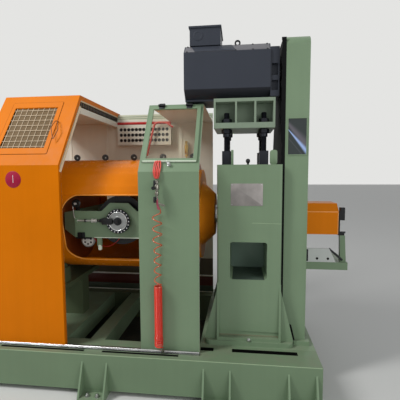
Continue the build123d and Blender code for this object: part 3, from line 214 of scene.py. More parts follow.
def turned(name, profile, centres, along, sides=32, hexed=None, crease=35.0):
    """Turned pieces: centre + along * height + radius * (across cos t + up sin t) over the
    profile's (radius, height) pairs in millimetres and the angle t; hexed rows swell out to a
    hexagon."""
    along = np.array(along) / np.linalg.norm(along)
    across = np.cross(along, UP if abs(along[2]) < 0.9 else RIGHT)
    across /= np.linalg.norm(across)
    angle = 2 * np.pi * np.arange(sides) / sides
    radius, height = np.array(profile, dtype=float).T[..., None] / 1000
    if hexed is not None:
        swell = 1.0 / np.cos((angle + np.pi / 6) % (np.pi / 3) - np.pi / 6)
        radius = radius * np.where(np.array(hexed)[:, None], swell, 1.0)
    ring = (across * np.cos(angle)[:, None]
            + np.cross(along, across) * np.sin(angle)[:, None])
    grid = radius[..., None] * ring + height[..., None] * along
    return surface(name, np.atleast_2d(centres)[:, None, None] + grid, crease=crease)


def bolts(name, size, centres, along):
    """Washer, hexagon and stud end for bolts of this thread size in millimetres."""
    rows = [(1.05, 0.0), (1.05, 0.16), (0.8, 0.16), (0.8, 0.88), (0.68, 0.96), (0.46, 0.96),
            (0.46, 1.22), (0.38, 1.3), (0.0, 1.3)]
    hexed = [row in (2, 3) for row in range(len(rows))]
    return turned(name, size * np.array(rows), centres, along, 24, hexed)


def enamel(name, coat, lining=None, planes=(), deep=0.001, gloss=0.34, dusty=0.5,
           shine=0.32):
    """Sprayed alkyd enamel on steel plate: orange peel of 3 mm, slow waves of the sheet, run-down
    streaks, and dust on what faces up. Deep behind all of the planes it turns to the lining."""
    finish, tree, paint = material(name)
    where = add(tree, "TexCoord")
    place = where.outputs["Object"]
    if lining:
        depth = None
        for (ny, nz), offset in planes:
            reach = add(tree, "VectorMath", [place, (0.0, ny, nz)], operation="DOT_PRODUCT")
            behind = add(tree, "Math", [offset, reach], operation="SUBTRACT")
            depth = add(tree, "Math", [depth, behind], operation="MINIMUM") if depth else behind
        inside = add(tree, "Math", [depth, deep], operation="GREATER_THAN")
        coat = add(tree, "Mix", {0: inside, 6: coat, 7: lining}, data_type="RGBA")
    cloud = add(tree, "TexNoise",
                {"Vector": place, "Scale": 1.7, "Detail": 3.0, "Roughness": 0.55})
    shade = add(tree, "MapRange", [cloud, 0.3, 0.7, 0.93, 1.05])
    stretched = add(tree, "Mapping", {"Vector": place, "Scale": (26.0, 26.0, 1.3)})
    streak = add(tree, "TexNoise", {"Vector": stretched, "Scale": 1.0, "Detail": 4.0})
    runs = add(tree, "MapRange", [streak, 0.35, 0.65, 0.985, 1.01])
    both = add(tree, "Math", [shade, runs], operation="MULTIPLY")
    coated = add(tree, "Mix", {0: 1.0, 6: coat, 7: both}, data_type="RGBA",
                 blend_type="MULTIPLY")
    facing = add(tree, "SeparateXYZ", [where.outputs["Normal"]])
    level = add(tree, "MapRange", [facing.outputs["Z"], 0.75, 1.0])
    speck = add(tree, "TexNoise",
                {"Vector": place, "Scale": 9.0, "Detail": 6.0, "Roughness": 0.7})
    settled = add(tree, "MapRange", [speck, 0.35, 0.75, 0.0, dusty])
    dust = add(tree, "Math", [level, settled], operation="MULTIPLY")
    dusted = add(tree, "Mix", {0: dust, 6: coated, 7: DUST}, data_type="RGBA")
    dull = add(tree, "MapRange", [streak, 0.3, 0.7, gloss - 0.05, gloss + 0.07])
    matt = add(tree, "Math", [dust, 0.4, dull], operation="MULTIPLY_ADD")
    peel = add(tree, "TexNoise", {"Vector": place, "Scale": 330.0, "Detail": 1.0})
    waves = add(tree, "TexNoise", {"Vector": place, "Scale": 3.1, "Detail": 1.0})
    fine = add(tree, "Bump", {"Strength": 0.1, "Distance": 0.0006, "Height": peel})
    bent = add(tree, "Bump",
               {"Strength": 0.35, "Distance": 0.008, "Height": waves, "Normal": fine})
    feed(paint, {"Specular IOR Level": shine, "Base Color": dusted, "Roughness": matt,
                 "Normal": bent})
    return finish


def grained(name, code, rough, grain, stretch=(1.0, 1.0, 1.0), metallic=1.0, shine=0.5):
    """Worked metal, or moulded rubber and plastic that isn't metallic: fine lines left by the
    tool, counted to the metre by the grain and drawn out across the stretch, and cloudy wear."""
    finish, tree, skin = material(name)
    place = add(tree, "TexCoord").outputs["Object"]
    drawn = add(tree, "Mapping", {"Vector": place, "Scale": stretch})
    lines = add(tree, "TexNoise", {"Vector": drawn, "Scale": grain, "Detail": 3.0})
    wear = add(tree, "TexNoise", {"Vector": place, "Scale": 14.0, "Detail": 4.0})
    tone = add(tree, "MapRange", [wear, 0.3, 0.7, 0.78, 1.05])
    stained = add(tree, "Mix", {0: 1.0, 6: code, 7: tone}, data_type="RGBA",
                  blend_type="MULTIPLY")
    polish = add(tree, "MapRange", [lines, 0.3, 0.7, rough - 0.07, rough + 0.1])
    scored = add(tree, "Bump", {"Strength": 0.25, "Distance": 0.0002, "Height": lines})
    feed(skin, {"Metallic": metallic, "Specular IOR Level": shine, "Base Color": stained,
                "Roughness": polish, "Normal": scored})
    return finish


def dress(finish, *names, ease=0.0015):
    """CAD nodes take the finish; welded copies of their edges are eased by a small bevel."""
    for name in names:
        nodes[name].data.materials.clear()
        nodes[name].data.materials.append(finish)
        if ease:
            joined = nodes[name].modifiers.new("joined", "WELD")
            joined.merge_threshold = 0.00002
            eased = nodes[name].modifiers.new("eased", "BEVEL")
            eased.width = ease
            eased.segments = 2
            eased.limit_method = "ANGLE"
            eased.angle_limit = math.radians(40)
            eased.harden_normals = True


sage_enamel = enamel("sage_alkyd_enamel", SAGE)
# A darker copy of the sage for the front beam: painted shade for the weaker light along the bed's
# front.
front_beam_shade_sage = enamel("front_beam_sage_painted_shade", "#6F8568")
# A darker copy of the sage for the rear beam and the support stands: painted shade where they lie
# in shade under the hoods and the tube.
shaded_sage = enamel("sage_enamel_painted_shade", "#566248", gloss=0.4, dusty=0.3)
tray_enamel = enamel("tray_black_oiled_enamel", "#2E2F2B", gloss=0.5, dusty=0.25)
zinc = grained("zinc_plated_steel", "#B4B6B4", 0.38, 220.0)
dress(front_beam_shade_sage, "bed_front_beam")
dress(shaded_sage, "bed_rear_beam")
dress(sage_enamel, "bed_crossbeams", "bed_head_plate")
dress(sage_enamel, "bed_feet", ease=0.0)
dress(tray_enamel, "drip_tray", ease=0.0)
anchors = [(x + shift, y, 0.02) for x in FEET_X for shift in (-0.035, 0.035)
           for y in (-0.733, 0.733)]
fitted(bolts("anchor_bolts", 16, anchors, UP), zinc)

# Slide rail: a drawn steel bar on a flat strip, screwed along the front beam. The hoods' shoes
# keep its top bright, and oil darkens the strip.
rail_steel = grained("drawn_rail_steel", "#C9CACA", 0.22, 90.0, (0.05, 1.0, 1.0))
dress(rail_steel, "slide_rail", ease=0.0)


def outline(width, height, radius, steps=5):
    """A rounded rectangle: each corner's centre plus the radius turned through its quarter."""
    turn = np.radians(np.arange(4)[:, None] * 90 + np.linspace(0, 90, steps))
    corner = np.array([(1, 1), (-1, 1), (-1, -1), (1, -1)])
    centre = corner * np.array([width / 2 - radius, height / 2 - radius])
    round_part = radius * np.stack([np.cos(turn), np.sin(turn)], axis=-1)
    return (centre[:, None] + round_part).reshape(-1, 2)


def stacked(centres, u, v, rows):
    """Rounded rectangles in the plane of u and v, raised along u x v: each row gives its span, its
    corner, how far it is drawn in and how high it lies."""
    u, v = (np.array(a) / np.linalg.norm(a) for a in (u, v))
    grid = np.array([[u * a + v * b + np.cross(u, v) * high for a, b in outline(
        span[0] - 2 * inset, span[1] - 2 * inset, max(corner - inset, 0.0002))]
                     for span, corner, inset, high in rows])
    return np.atleast_2d(centres)[:, None, None] + grid


def slab(name, centres, size, corner=0.002, edge=0.001, u=RIGHT, v=UP):
    """Plates: an outline raised by the thickness, drawn in by the easing of its upper edge."""
    thick = size[2]
    eased = ((0.0, 0.0), (0.0, thick - edge), (0.3 * edge, thick - 0.3 * edge), (edge, thick))
    return surface(name, stacked(centres, u, v, [(size, corner, *row) for row in eased]))


def ring(name, centres, outer, inner, thick, corners=(0.006, 0.004), edge=0.001, u=RIGHT, v=UP):
    """Frames: the section runs from the outer outline over the top to the inner outline, carried
    round both outlines together."""
    return surface(name, stacked(centres, u, v, [
        (outer, corners[0], 0.0, 0.0), (outer, corners[0], 0.0, thick - edge),
        (outer, corners[0], edge, thick), (inner, corners[1], -edge, thick),
        (inner, corners[1], 0.0, thick - edge), (inner, corners[1], 0.0, 0.0)]), closed=True)


def swept(name, paths, radius, sides=10, reference=UP, closed=False):
    """Bent bars: a circle carried along each path, set square to it by the path's direction
    crossed with the reference; a closed path runs back into its first point."""
    paths = np.array(paths, dtype=float)
    paths = paths[None] if paths.ndim == 2 else paths
    ahead = (np.roll(paths, -1, axis=1) - np.roll(paths, 1, axis=1) if closed
             else np.gradient(paths, axis=1))
    ahead /= np.linalg.norm(ahead, axis=-1, keepdims=True)
    across = np.cross(ahead, reference)
    across /= np.linalg.norm(across, axis=-1, keepdims=True)
    up = np.cross(across, ahead)
    angle = 2 * np.pi * np.arange(sides) / sides
    circle = (across[..., None, :] * np.cos(angle)[:, None]
              + up[..., None, :] * np.sin(angle)[:, None])
    return surface(name, paths[..., None, :] + radius * circle, closed, 50.0)


def bend(corners, reach, steps=6):
    """A bar's line with its corners rounded: each corner gives way to the curve
    (1 - t)^2 a + 2 t (1 - t) corner + t^2 b, with a and b the reach away on both sides."""
    corners = np.array(corners, dtype=float)
    share = np.linspace(0.0, 1.0, steps)[:, None]
    line = [corners[:1]]
    for before, corner, after in zip(corners, corners[1:], corners[2:]):
        a = corner + (before - corner) * reach / np.linalg.norm(before - corner)
        b = corner + (after - corner) * reach / np.linalg.norm(after - corner)
        line.append((1 - share) ** 2 * a + 2 * share * (1 - share) * corner + share ** 2 * b)
    return np.concatenate(line + [corners[-1:]])


# Slots in the beams' top plates, each holding a strip of near-black painted shadow that lies just
# under the surface. A paler green strip along the front beam's upper edge is its wear and a painted
# highlight.
SLOT_HIGH = 0.2898
beam_slots = [(-1.008, -0.473)] + [(-1.76 - 0.752 * k, -1.139 - 0.752 * k) for k in range(4)]
head_slots = [(-0.334, -0.243), (-0.114, 0.328)]
slot_shadow_paint = enamel("slot_painted_shadow", "#070707", gloss=0.7, dusty=0.0,
              shine=0.02)
for stem, y, wide, slots in (("slot_shadow_strip", -0.645, 0.02, beam_slots),
                             ("head_slot_shadow_strip", -0.536, 0.042, head_slots)):
    for number, (left, right) in enumerate(slots, start=1):
        fitted(slab(f"{stem}_{number}", ((left + right) / 2, y, SLOT_HIGH),
                    (right - left, wide, 0.001), 0.001, 0.0003, RIGHT, BACK), slot_shadow_paint)
sage_wear_and_highlight = enamel("sage_edge_wear_and_highlight", "#9FB592", gloss=0.3, dusty=0.0)
fitted(slab("bed_edge_wear_and_highlight", (-1.9365, -0.688, 0.2865), (4.79, 0.005, 0.0006), 0.001, 0.0003),
       sage_wear_and_highlight)


# Rear wall: beige enamelled sheet on posts, stiffened by folded seams in front and pressed ribs
# behind, with a capping rail. A perforated vent box and a red pull bar hang in each opening.
BEIGE = "#DEDBCB"
WALL_FRONT, WALL_BACK, WALL_RAIL = 0.587, 0.595, 0.5652
WALL_SPAN = (-4.255, -0.333)
BOX_MIDDLES = (-1.018, -2.188, -3.358)
beige_enamel = enamel("beige_enamel", BEIGE, gloss=0.42)
rail_cream = enamel("cream_rail_enamel", "#D6DCC4", gloss=0.4, dusty=0.2)
dress(beige_enamel, "rear_wall", "vent_boxes", ease=0.0)
dress(rail_cream, "rear_top_rail")
middle, wide = sum(WALL_SPAN) / 2, WALL_SPAN[1] - WALL_SPAN[0]
seams = [(x, WALL_FRONT, 1.2) for x in np.arange(WALL_SPAN[1] - 0.32, WALL_SPAN[0], -0.39)]
grooves = [(middle, WALL_RAIL, z) for z in (2.0835, 2.065)]
ribs = [(x, WALL_BACK, 1.265) for x in np.arange(-0.655, WALL_SPAN[0], -0.585)]
joints = [(x, WALL_BACK, 1.2) for x in np.arange(-0.9475, WALL_SPAN[0], -1.17)]
screws = [(x + shift, WALL_BACK + 0.003, z) for x, _, _ in joints for shift in (-0.019, 0.019)
          for z in np.arange(0.43, 2.03, 0.195)]
post_bolts = [(x, 0.625, z) for x in np.arange(-0.363, -4.3, -0.585) for z in (0.35, 0.42)]
flat_head = [(7.5, 0), (7, 1.6), (4.5, 3), (0, 3.4)]
fit_all("bed",
        (slab, "wall_seams", beige_enamel, seams, (0.03, 1.7, 0.004), 0.001, 0.0015),
        (slab, "rear_rail_grooves", sage_enamel, grooves, (wide, 0.005, 0.0012), 0.001, 0.0004),
        (slab, "rear_rail_foot", beige_enamel, (middle, WALL_RAIL, 2.04), (wide, 0.023, 0.001),
         0.001, 0.0004),
        (bolts, "wall_post_bolts", zinc, 10, post_bolts, BACK),
        (slab, "wall_back_ribs", beige_enamel, ribs, (0.044, 1.54, 0.016), 0.004, 0.004, LEFT),
        (slab, "wall_back_joints", beige_enamel, joints, (0.062, 1.7, 0.003), 0.001, 0.001, LEFT),
        (turned, "wall_back_screws", zinc, flat_head, screws, BACK, 12))
# Strips along the wall's foot: a catch bar whose white enamel is a painted highlight, a strip of
# painted shade on the beige above it, a red oxide catch strip and a dark sage kick plate.
for name, coat, slot, code, gloss, dusty, high, tall, thick, edge in (
        ("catch_bar", "catch_bar_painted_highlight", "steel", "#F4F2E8", 0.3, 0.0,
         0.466, 0.011, 0.012, 0.002),
        ("wall_shade_strip", "beige_painted_shade", "beige_enamel", "#5E5444", 0.5, 0.0,
         0.56, 0.17, 0.005, 0.0004),
        ("catch_strip", "catch_strip_red_oxide", "dark_enamel", "#54231A", 0.4, 0.1,
         0.411, 0.1, 0.0052, 0.001),
        ("rear_kick_plate", "dark_sage_kick_enamel", "green_enamel", "#3C4436", 0.4, 0.3,
         0.331, 0.06, 0.006, 0.001)):
    fitted(slab(name, (middle, WALL_FRONT, high), (wide, tall, thick), 0.001, edge),
           enamel(coat, code, gloss=gloss, dusty=dusty))

# Painted shadow for holes: near black and quite matt, with spots of about 17 mm, so that a hole
# looks deep.
shadow, tree, shader = material("hole_painted_shadow")
shadow_mottle = add(tree, "TexNoise", {"Vector": add(tree, "TexCoord").outputs["Object"], "Scale": 60.0})
shadow_tone = add(tree, "Mix", {0: shadow_mottle, 6: "#0C0B0B", 7: "#1C1A18"},
            data_type="RGBA")
feed(shader, {"Base Color": shadow_tone, "Roughness": 0.9})
holes = [(x + 0.0391 * a, 0.53, 1.899 + 0.053 * b) for x in BOX_MIDDLES
         for a in range(-6, 7) for b in range(-1, 2)]
fitted(turned("vent_hole_shadows", [(16.4, 0), (16.4, 0.3), (0, 0.3)], holes, FRONT, 16), shadow)
red_enamel = enamel("signal_red_enamel", "#B5201C", gloss=0.28)
dress(red_enamel, "pull_bars", ease=0.0)
loop_vinyl = enamel("coral_vinyl_sleeve", "#D8483C", gloss=0.4, dusty=0.0)
loops = [bend([(x + 0.038, 0.5, 1.69), (x + 0.12, 0.5, 2.012), (x + 0.236, 0.5, 2.012),
               (x + 0.3, 0.5, 1.965)], 0.04) for x in BOX_MIDDLES]
fitted(swept("pull_loops", loops, 0.01, 12, BACK), loop_vinyl)
brass = grained("turned_brass", "#D9B25A", 0.26, 120.0)
oiler = [(0, 0), (6, 0), (6, 12), (15, 15), (15, 30), (11, 34), (17, 40), (18.5, 46),
         (18.5, 120), (17, 126), (11, 130), (11, 148), (14, 151), (14, 164), (0, 168)]
fitted(turned("rear_oiler", oiler, (-0.595, 0.558, 1.667), UP, 32), brass)
fitted(slab("oiler_bracket", (-0.595, WALL_FRONT, 1.745), (0.034, 0.03, 0.012), 0.003, 0.001),
       zinc)

# Fixed guards: folded sheet, sage green outside and beige inside, each with a hinged window of
# clear acrylic in the slope. The head guard's has two black hinges on top and a latch below.
GUARD = GUARD_KNEE, GUARD_RIDGE = np.array([(0.0, -0.595, 1.528), (0.0, -0.263, 2.028)])
GUARD_FOOT = 0.3
HEAD_X = -0.539
BAY_RIGHTS = (-1.291, -2.461, -3.631)
TRIM = 0.003


def slope(knee, ridge):
    """Up the slope, and out of it: the line from knee to ridge, and X crossed with it."""
    rise = (ridge - knee) / np.linalg.norm(ridge - knee)
    return rise, np.cross(RIGHT, rise)


def skin(knee, ridge):
    """The folded sheet's outer planes as ((y, z) normal, offset): front, slope and roof."""
    rise, out = slope(knee, ridge)
    return [((-1.0, 0.0), -knee[1]), ((out[1], out[2]), float(knee @ out)), ((0.0, 1.0), ridge[2])]


def on_slope(fold, *places):
    """Points over a fold's slope: a place counts along X, up from the knee and out of the sheet."""
    return fold[0] + np.array(places) @ np.array([RIGHT, *slope(*fold)])


def edge_trim(name, finish, reach, start, end):
    """A flat bar on the guards' right edges: the fold line from start to end, each a point and
    its way out, moved in by the trim and out by the reach, and raised by the trim along X."""
    share = np.linspace(0.0, 1.0, 9)[:, None]
    line, ahead = (np.array(a) * (1 - share) + np.array(b) * share for a, b in zip(start, end))
    low, high = line - TRIM * ahead, line + reach * ahead
    rows = np.stack([low, high, high + (TRIM, 0, 0), low + (TRIM, 0, 0)], axis=1)
    fitted(surface(name, rows + np.array([(x, 0, 0) for x in BAY_RIGHTS])[:, None, None]), finish)


guard_enamel = enamel("sage_enamel_beige_inside", SAGE, BEIGE,
                      skin(*GUARD), deep=0.0012)
cream_trim = enamel("cream_trim_enamel", "#F0E0C0", gloss=0.4, dusty=0.0)
# The guards' front trim is a darker orange: painted shade along the hoods' right edges.
orange_trim_shade = enamel("orange_trim_painted_shade", "#C26A08", gloss=0.4, dusty=0.0,
                     shine=0.1)
# A pale sage is painted highlight: on the window drip lips here, and on the cradles' flanges and
# exit eyes.
sage_highlight = enamel("sage_painted_highlight", "#E4EFDA", gloss=0.3, dusty=0.0)
black_steel = grained("blackened_steel", "#3A3B3D", 0.45, 160.0)
dress(guard_enamel, "guard_head", "guard_bays")
dress(sage_enamel, "window_frames")
rise, out = slope(*GUARD)
mitre = (np.array(FRONT) + out) / (1.0 - out[1])
edge_trim("guard_slope_trim", cream_trim, 0.017, (GUARD_KNEE, mitre), (GUARD_RIDGE, out))
edge_trim("guard_front_trim", orange_trim_shade, 0.009,
          ((0.0, GUARD_KNEE[1], GUARD_FOOT), FRONT), (GUARD_KNEE, mitre))
hinges = on_slope(GUARD, *((HEAD_X + shift, 0.5741, 0.012) for shift in (-0.103, 0.103)))
barrel = [(0, -26), (7, -26), (9, -24), (9, 24), (7, 26), (0, 26)]
knob = [(12, 0), (12, 4), (6, 6), (6, 12), (10, 14), (12, 19), (9, 23), (0, 24)]
chain = [(-0.541, 0.1, 0.003), (-0.557, 0.092, 0.01), (-0.551, 0.062, 0.01),
         (-0.529, 0.068, 0.01), (-0.535, 0.04, 0.006)]
fitted(slab("hinge_leaves", hinges - out * 0.0005, (0.044, 0.05, 0.004), 0.006, v=rise),
       black_steel)
fitted(turned("hinge_barrels", barrel, hinges + out * 0.01, RIGHT, 20), black_steel)
fitted(swept("latch_chain", bend(on_slope(GUARD, *chain), 0.01), 0.0032, 10, RIGHT), zinc)
fitted(turned("latch_knob", knob, on_slope(GUARD, (-0.537, 0.052, 0.0)), out, 24), zinc)
fitted(slab("window_drip_lips", on_slope(GUARD, (HEAD_X, 0.089, 0.0)), (0.366, 0.011, 0.018),
            0.001, v=(0, -0.3, 0.95)), sage_highlight)

# Clear acrylic sheet: thin enough to bend hardly any light, with a haze of wiping marks.
acrylic, tree, shader = material("clear_acrylic_sheet")
haze = add(tree, "TexNoise", {"Vector": add(tree, "TexCoord").outputs["Object"], "Scale": 7.0,
                              "Detail": 5.0})
feed(shader, {"Base Color": "#F3F1E6", "Transmission Weight": 0.97, "IOR": 1.12,
              "Roughness": add(tree, "MapRange", [haze, 0.4, 0.7, 0.01, 0.06])})
dress(acrylic, "window_panes", ease=0.0)

# Sliding hoods: orange outside, beige lining inside. A raised door panel in the slope holds a
# welded wire mesh over a fine dark screen, with a bent wire handle and a round number plate.
ORANGE = "#D97606"
HOOD = HOOD_KNEE, HOOD_RIDGE = np.array([(0.0, -0.622, 1.577), (0.0, -0.263, 2.12)])
LINING_DROP = 0.016
MESH_X, MESH_UP = -0.322, 0.332
MESH_SPAN = (0.348, 0.3908)
MESH_WIRES = 8
hood_planes = skin(HOOD_KNEE, HOOD_RIDGE - (0, 0, LINING_DROP)) + [((1.0, 0.0), -HOOD_KNEE[1])]
orange_lined = enamel("orange_enamel_beige_inside", ORANGE, "#D2C3A2",
                      hood_planes, deep=0.0215, gloss=0.36, dusty=0.3, shine=0.05)
mesh_wire = enamel("cream_wire_enamel", "#F2DDBE", gloss=0.4, dusty=0.0)
handle_brown = enamel("browned_wire_enamel", "#7A4A20", gloss=0.4, dusty=0.0)
gap_brown = enamel("shaded_gap_enamel", "#7E4408", gloss=0.6, dusty=0.0,
                   shine=0.05)
comb_backing = enamel("comb_holder_enamel", "#D9A468", gloss=0.4, dusty=0.0)
comb_rubber = grained("moulded_comb_rubber", "#191614", 0.6, 200.0, metallic=0.0)
crimson = enamel("crimson_sign_enamel", "#A3123A", gloss=0.25, dusty=0.0)
white_enamel = enamel("white_sign_enamel", "#F1EFEA", gloss=0.3, dusty=0.0)
# Woven screen: its threads are too fine to show, so they are drawn 4 mm apart.
screen, tree, shader = material("woven_dark_screen")
lie = add(tree, "TexCoord").outputs["Object"]
threads = [add(tree, "TexWave", {"Vector": lie, "Scale": 80.0, "Distortion": 0.0},
               bands_direction=direction).outputs["Fac"] for direction in ("X", "Z")]
crossed = add(tree, "Math", threads, operation="MULTIPLY")
woven = add(tree, "Mix", {0: crossed, 6: "#5C492B", 7: "#806338"},
            data_type="RGBA")
raised = add(tree, "Bump", {"Strength": 0.6, "Distance": 0.001, "Height": crossed})
feed(shader, {"Base Color": woven, "Normal": raised, "Roughness": 0.75})

rise, out = slope(*HOOD)
across, along = np.array(RIGHT) * MESH_SPAN[0], rise * MESH_SPAN[1]
step = (np.arange(MESH_WIRES)[:, None, None] - (MESH_WIRES - 1) / 2) / MESH_WIRES
ends = np.array([-0.5, 0.5])[:, None]
mesh_lines = np.concatenate([step * across + ends * along - 0.0035 * out,
                             step * along + ends * across - 0.001 * out])
grip = [(-0.108, 0.386, 0.002), (-0.112, 0.38, 0.022), (-0.126, 0.309, 0.028),
        (-0.082, 0.199, 0.026), (-0.066, 0.289, 0.028), (-0.098, 0.38, 0.022),
        (-0.104, 0.386, 0.002)]
sign = [(57.5, 0), (57.5, 1), (56.5, 1.6), (0, 1.6)]
for number, right in enumerate(BAY_RIGHTS, start=1):
    body, tail = f"hood_{number}", f"_{number}"
    dress(orange_lined, body)
    middle = HOOD_KNEE + (right + MESH_X, 0, 0) + rise * MESH_UP
    door = middle + (0.0075, 0, 0) + rise * 0.006
    fitted(slab("mesh_screen" + tail, middle - out * 0.01, (*MESH_SPAN, 0.003), 0.002, 0.0005,
                v=rise), screen, body, "hood_mesh" + tail)
    fitted(swept("mesh_wires" + tail, middle + mesh_lines, 0.0014, 8, out), mesh_wire, body)
    fit_all(body,
            (ring, "mesh_door", orange_lined, door, (0.405, 0.488), (0.345, 0.384), 0.003,
             (0.01, 0.003), 0.001, RIGHT, rise),
            (ring, "mesh_door_gap", gap_brown, door, (0.412, 0.495), (0.404, 0.487), 0.0006,
             (0.012, 0.01), 0.0002, RIGHT, rise), tail=tail)
    handle = bend(on_slope(HOOD, *grip) + (right, 0, 0), 0.016)
    fitted(swept("wire_handle" + tail, handle, 0.0028, 8, out), handle_brown, body)
    place = (right - 0.333, -0.622, 1.479)
    fitted(turned("number_plate" + tail, sign, place, FRONT, 64), crimson, body)
    strokes = bpy.data.curves.new("digit" + tail, "FONT")
    strokes.body = str(number)
    strokes.size = 0.082
    strokes.offset = -0.0016
    strokes.align_x = strokes.align_y = "CENTER"
    strokes.extrude = 0.0003
    writing = placed("digit" + tail, strokes)
    bpy.context.view_layer.update()
    digit = bpy.data.meshes.new_from_object(writing)
    bpy.data.objects.remove(writing)
    digit.transform(Matrix.Translation((place[0], place[1] - 0.002, place[2]))
                    @ Matrix.Rotation(math.radians(90), 4, "X")
                    @ Matrix.Diagonal((0.62, 1.0, 1.0, 1.0)))
    fitted(placed("number" + tail, digit), white_enamel, body)
    teeth = [(right - 0.0095, y, 2.053) for y in np.arange(-0.238, 0.55, 0.03)]
    fit_all(body,
            (slab, "comb_seal", comb_rubber, (right - 0.01, 0.15, 2.074), (0.8, 0.01, 0.004),
             0.001, 0.0003, BACK),
            (slab, "comb_backing", comb_backing, (right - 0.013, 0.15, 2.055),
             (0.8, 0.03, 0.001), 0.001, 0.0003, BACK),
            (slab, "comb_teeth", comb_rubber, teeth, (0.018, 0.033, 0.003), 0.007, 0.0003, BACK),
            tail=tail)


# Coiled air hose on the head guard: polyurethane tube of 8 mm wound to 50 mm across its middle
# line. Its own weight pulls the upper turns apart, and the rest stays packed above the bed.
HOSE_TUBE = 0.004
HOSE_AXIS = np.array([-0.608, -0.629, 0.0])
HOSE_START = math.pi / 3
COIL_RADIUS = 0.025
COIL_STEPS = 16
PACKED_TOP, LAST_TURN, LAST_SINK = 0.762, 0.352, 0.0102
COILS = ((1.25, 1.03, 3, 1.22), (1.03, PACKED_TOP, 4, 0.92), (PACKED_TOP, 0.412, 41, 0.96),
         (0.412, LAST_TURN, 5, 1.06))


def coil(heights, slack=1.0):
    """Helix points at these heights, each a sixteenth of a turn on; slack widens them along X."""
    angle = HOSE_START + 2 * np.pi * np.arange(len(heights)) / COIL_STEPS
    return HOSE_AXIS + np.stack([slack * COIL_RADIUS * np.cos(angle),
                                 COIL_RADIUS * np.sin(angle), heights], axis=1)


# Translucent polyurethane: smooth skin, deeper red where the turns lie packed.
hose_skin, tree, shader = material("polyurethane_hose")
height = add(tree, "SeparateXYZ", [add(tree, "TexCoord").outputs["Object"]]).outputs["Z"]
packed = add(tree, "MapRange", [height, PACKED_TOP + 0.02, PACKED_TOP - 0.02])
tint = add(tree, "Mix", {0: packed, 6: "#C05A36", 7: "#E2301A"},
           data_type="RGBA")
feed(shader, {"Base Color": tint, "Roughness": 0.24, "Subsurface Weight": 0.15,
              "Subsurface Scale": 0.004, "Coat Weight": 0.4})

# The turns hang from the coupler: swaying, stretched, packed and spread. The last one sinks as
# the square of its angle and leans over into the fitting.
last = np.arange(1, 14) / 13.0
hose_points = np.concatenate([
    HOSE_AXIS + [(0, 0, 1.372), (0, 0, 1.345), (0.004, 0, 1.318), (0.015, 0.002, 1.29),
                 (0.024, 0.011, 1.266)],
    *(coil(np.linspace(top, foot, turns * COIL_STEPS, endpoint=False), slack)
      for top, foot, turns, slack in COILS),
    coil(LAST_TURN - LAST_SINK * last ** 2),
    HOSE_AXIS + [(0.0258, -0.004, 0.3385), (0.026, 0.002, 0.334), (0.026, 0.002, 0.33)]])
route = bpy.data.curves.new("air_hose_coil", "CURVE")
route.dimensions = "3D"
line = route.splines.new("NURBS")
line.points.add(len(hose_points) - 1)
line.points.foreach_set("co", np.column_stack([hose_points, np.ones(len(hose_points))]).ravel())
line.order_u = 3
line.use_endpoint_u = True
line.resolution_u = 2
route.bevel_depth = HOSE_TUBE
route.bevel_resolution = 2
route.use_fill_caps = True
air_hose = fitted(placed("air_hose_coil", route), hose_skin, "bed", "air_hose")
nickel = grained("nickel_plated_brass", "#8F8C82", 0.28, 120.0)
coupling = [(0, 0), (7, 0), (8, 1), (8, 30), (12, 32), (13, 34), (13, 56), (12, 58), (9.5, 60),
            (9.5, 68), (16.5, 71), (17, 74), (17, 98), (15.5, 101), (11, 103), (11, 112),
            (14, 114), (14, 128), (9, 133), (0, 133)]
fitting = [(0, 0), (5, 0), (7, 2), (7, 10), (10, 12), (10, 26), (6, 28), (6, 36), (0, 36)]
sleeve = [(0, -20), (7, -20), (8.2, -17), (8.2, 17), (7, 20), (0, 20)]
knob = [(0, 0), (6, 0), (6, 12), (11, 14), (12, 18), (12, 26), (10, 29), (0, 29)]
coupler = fitted(turned("hose_coupler", coupling, HOSE_AXIS + (0, 0, 1.34), UP, 36), nickel,
                 "bed", "hose_fittings")
end_fitting = fitted(turned("hose_end_fitting", fitting, HOSE_AXIS + (0.026, 0.002, 0.296), UP,
                            28), nickel)
sleeves = HOSE_AXIS + [(-0.012, -0.012, 1.345), (-0.012, -0.008, 1.452)]
fitted(turned("coupler_sleeves", sleeve, sleeves, UP, 24), black_steel)
fitted(turned("coupler_knob", knob, HOSE_AXIS + (-0.015, -0.01, 1.422), FRONT, 28), black_steel)
fitted(slab("valve_lever", HOSE_AXIS + (0.034, -0.006, 1.312), (0.046, 0.014, 0.005), 0.005,
            u=(0.95, 0, -0.3), v=(0.3, 0, 0.95)), nickel)
relief = HOSE_AXIS + bend([(0, 0, 1.362), (0.002, 0, 1.32), (0.012, 0, 1.278)], 0.02)
relief_vinyl = grained("crimson_relief_vinyl", "#A8475A", 0.4, 150.0,
                       metallic=0.0)
fitted(swept("strain_relief", relief, 0.0078, 14, BACK), relief_vinyl)
turn = np.linspace(0.0, 2 * np.pi, 33)
hanging = 1.542 + 0.058 * np.cos(turn)
loops = [np.stack([middle + lean * (hanging - 1.6) + 0.0125 * np.sin(turn),
                   -0.6045 - 0.004 * face + 0.62 * np.maximum(hanging - GUARD_KNEE[2], 0.0),
                   hanging], axis=1)
         for face, (middle, lean) in enumerate(((-0.627, -0.05), (-0.6, 0.06), (-0.614, 0.0)))]
vinyl = grained("red_vinyl_coating", "#E5564A", 0.35, 150.0, metallic=0.0)
fitted(swept("hanger_loops", loops, 0.0041, 12, BACK), vinyl)

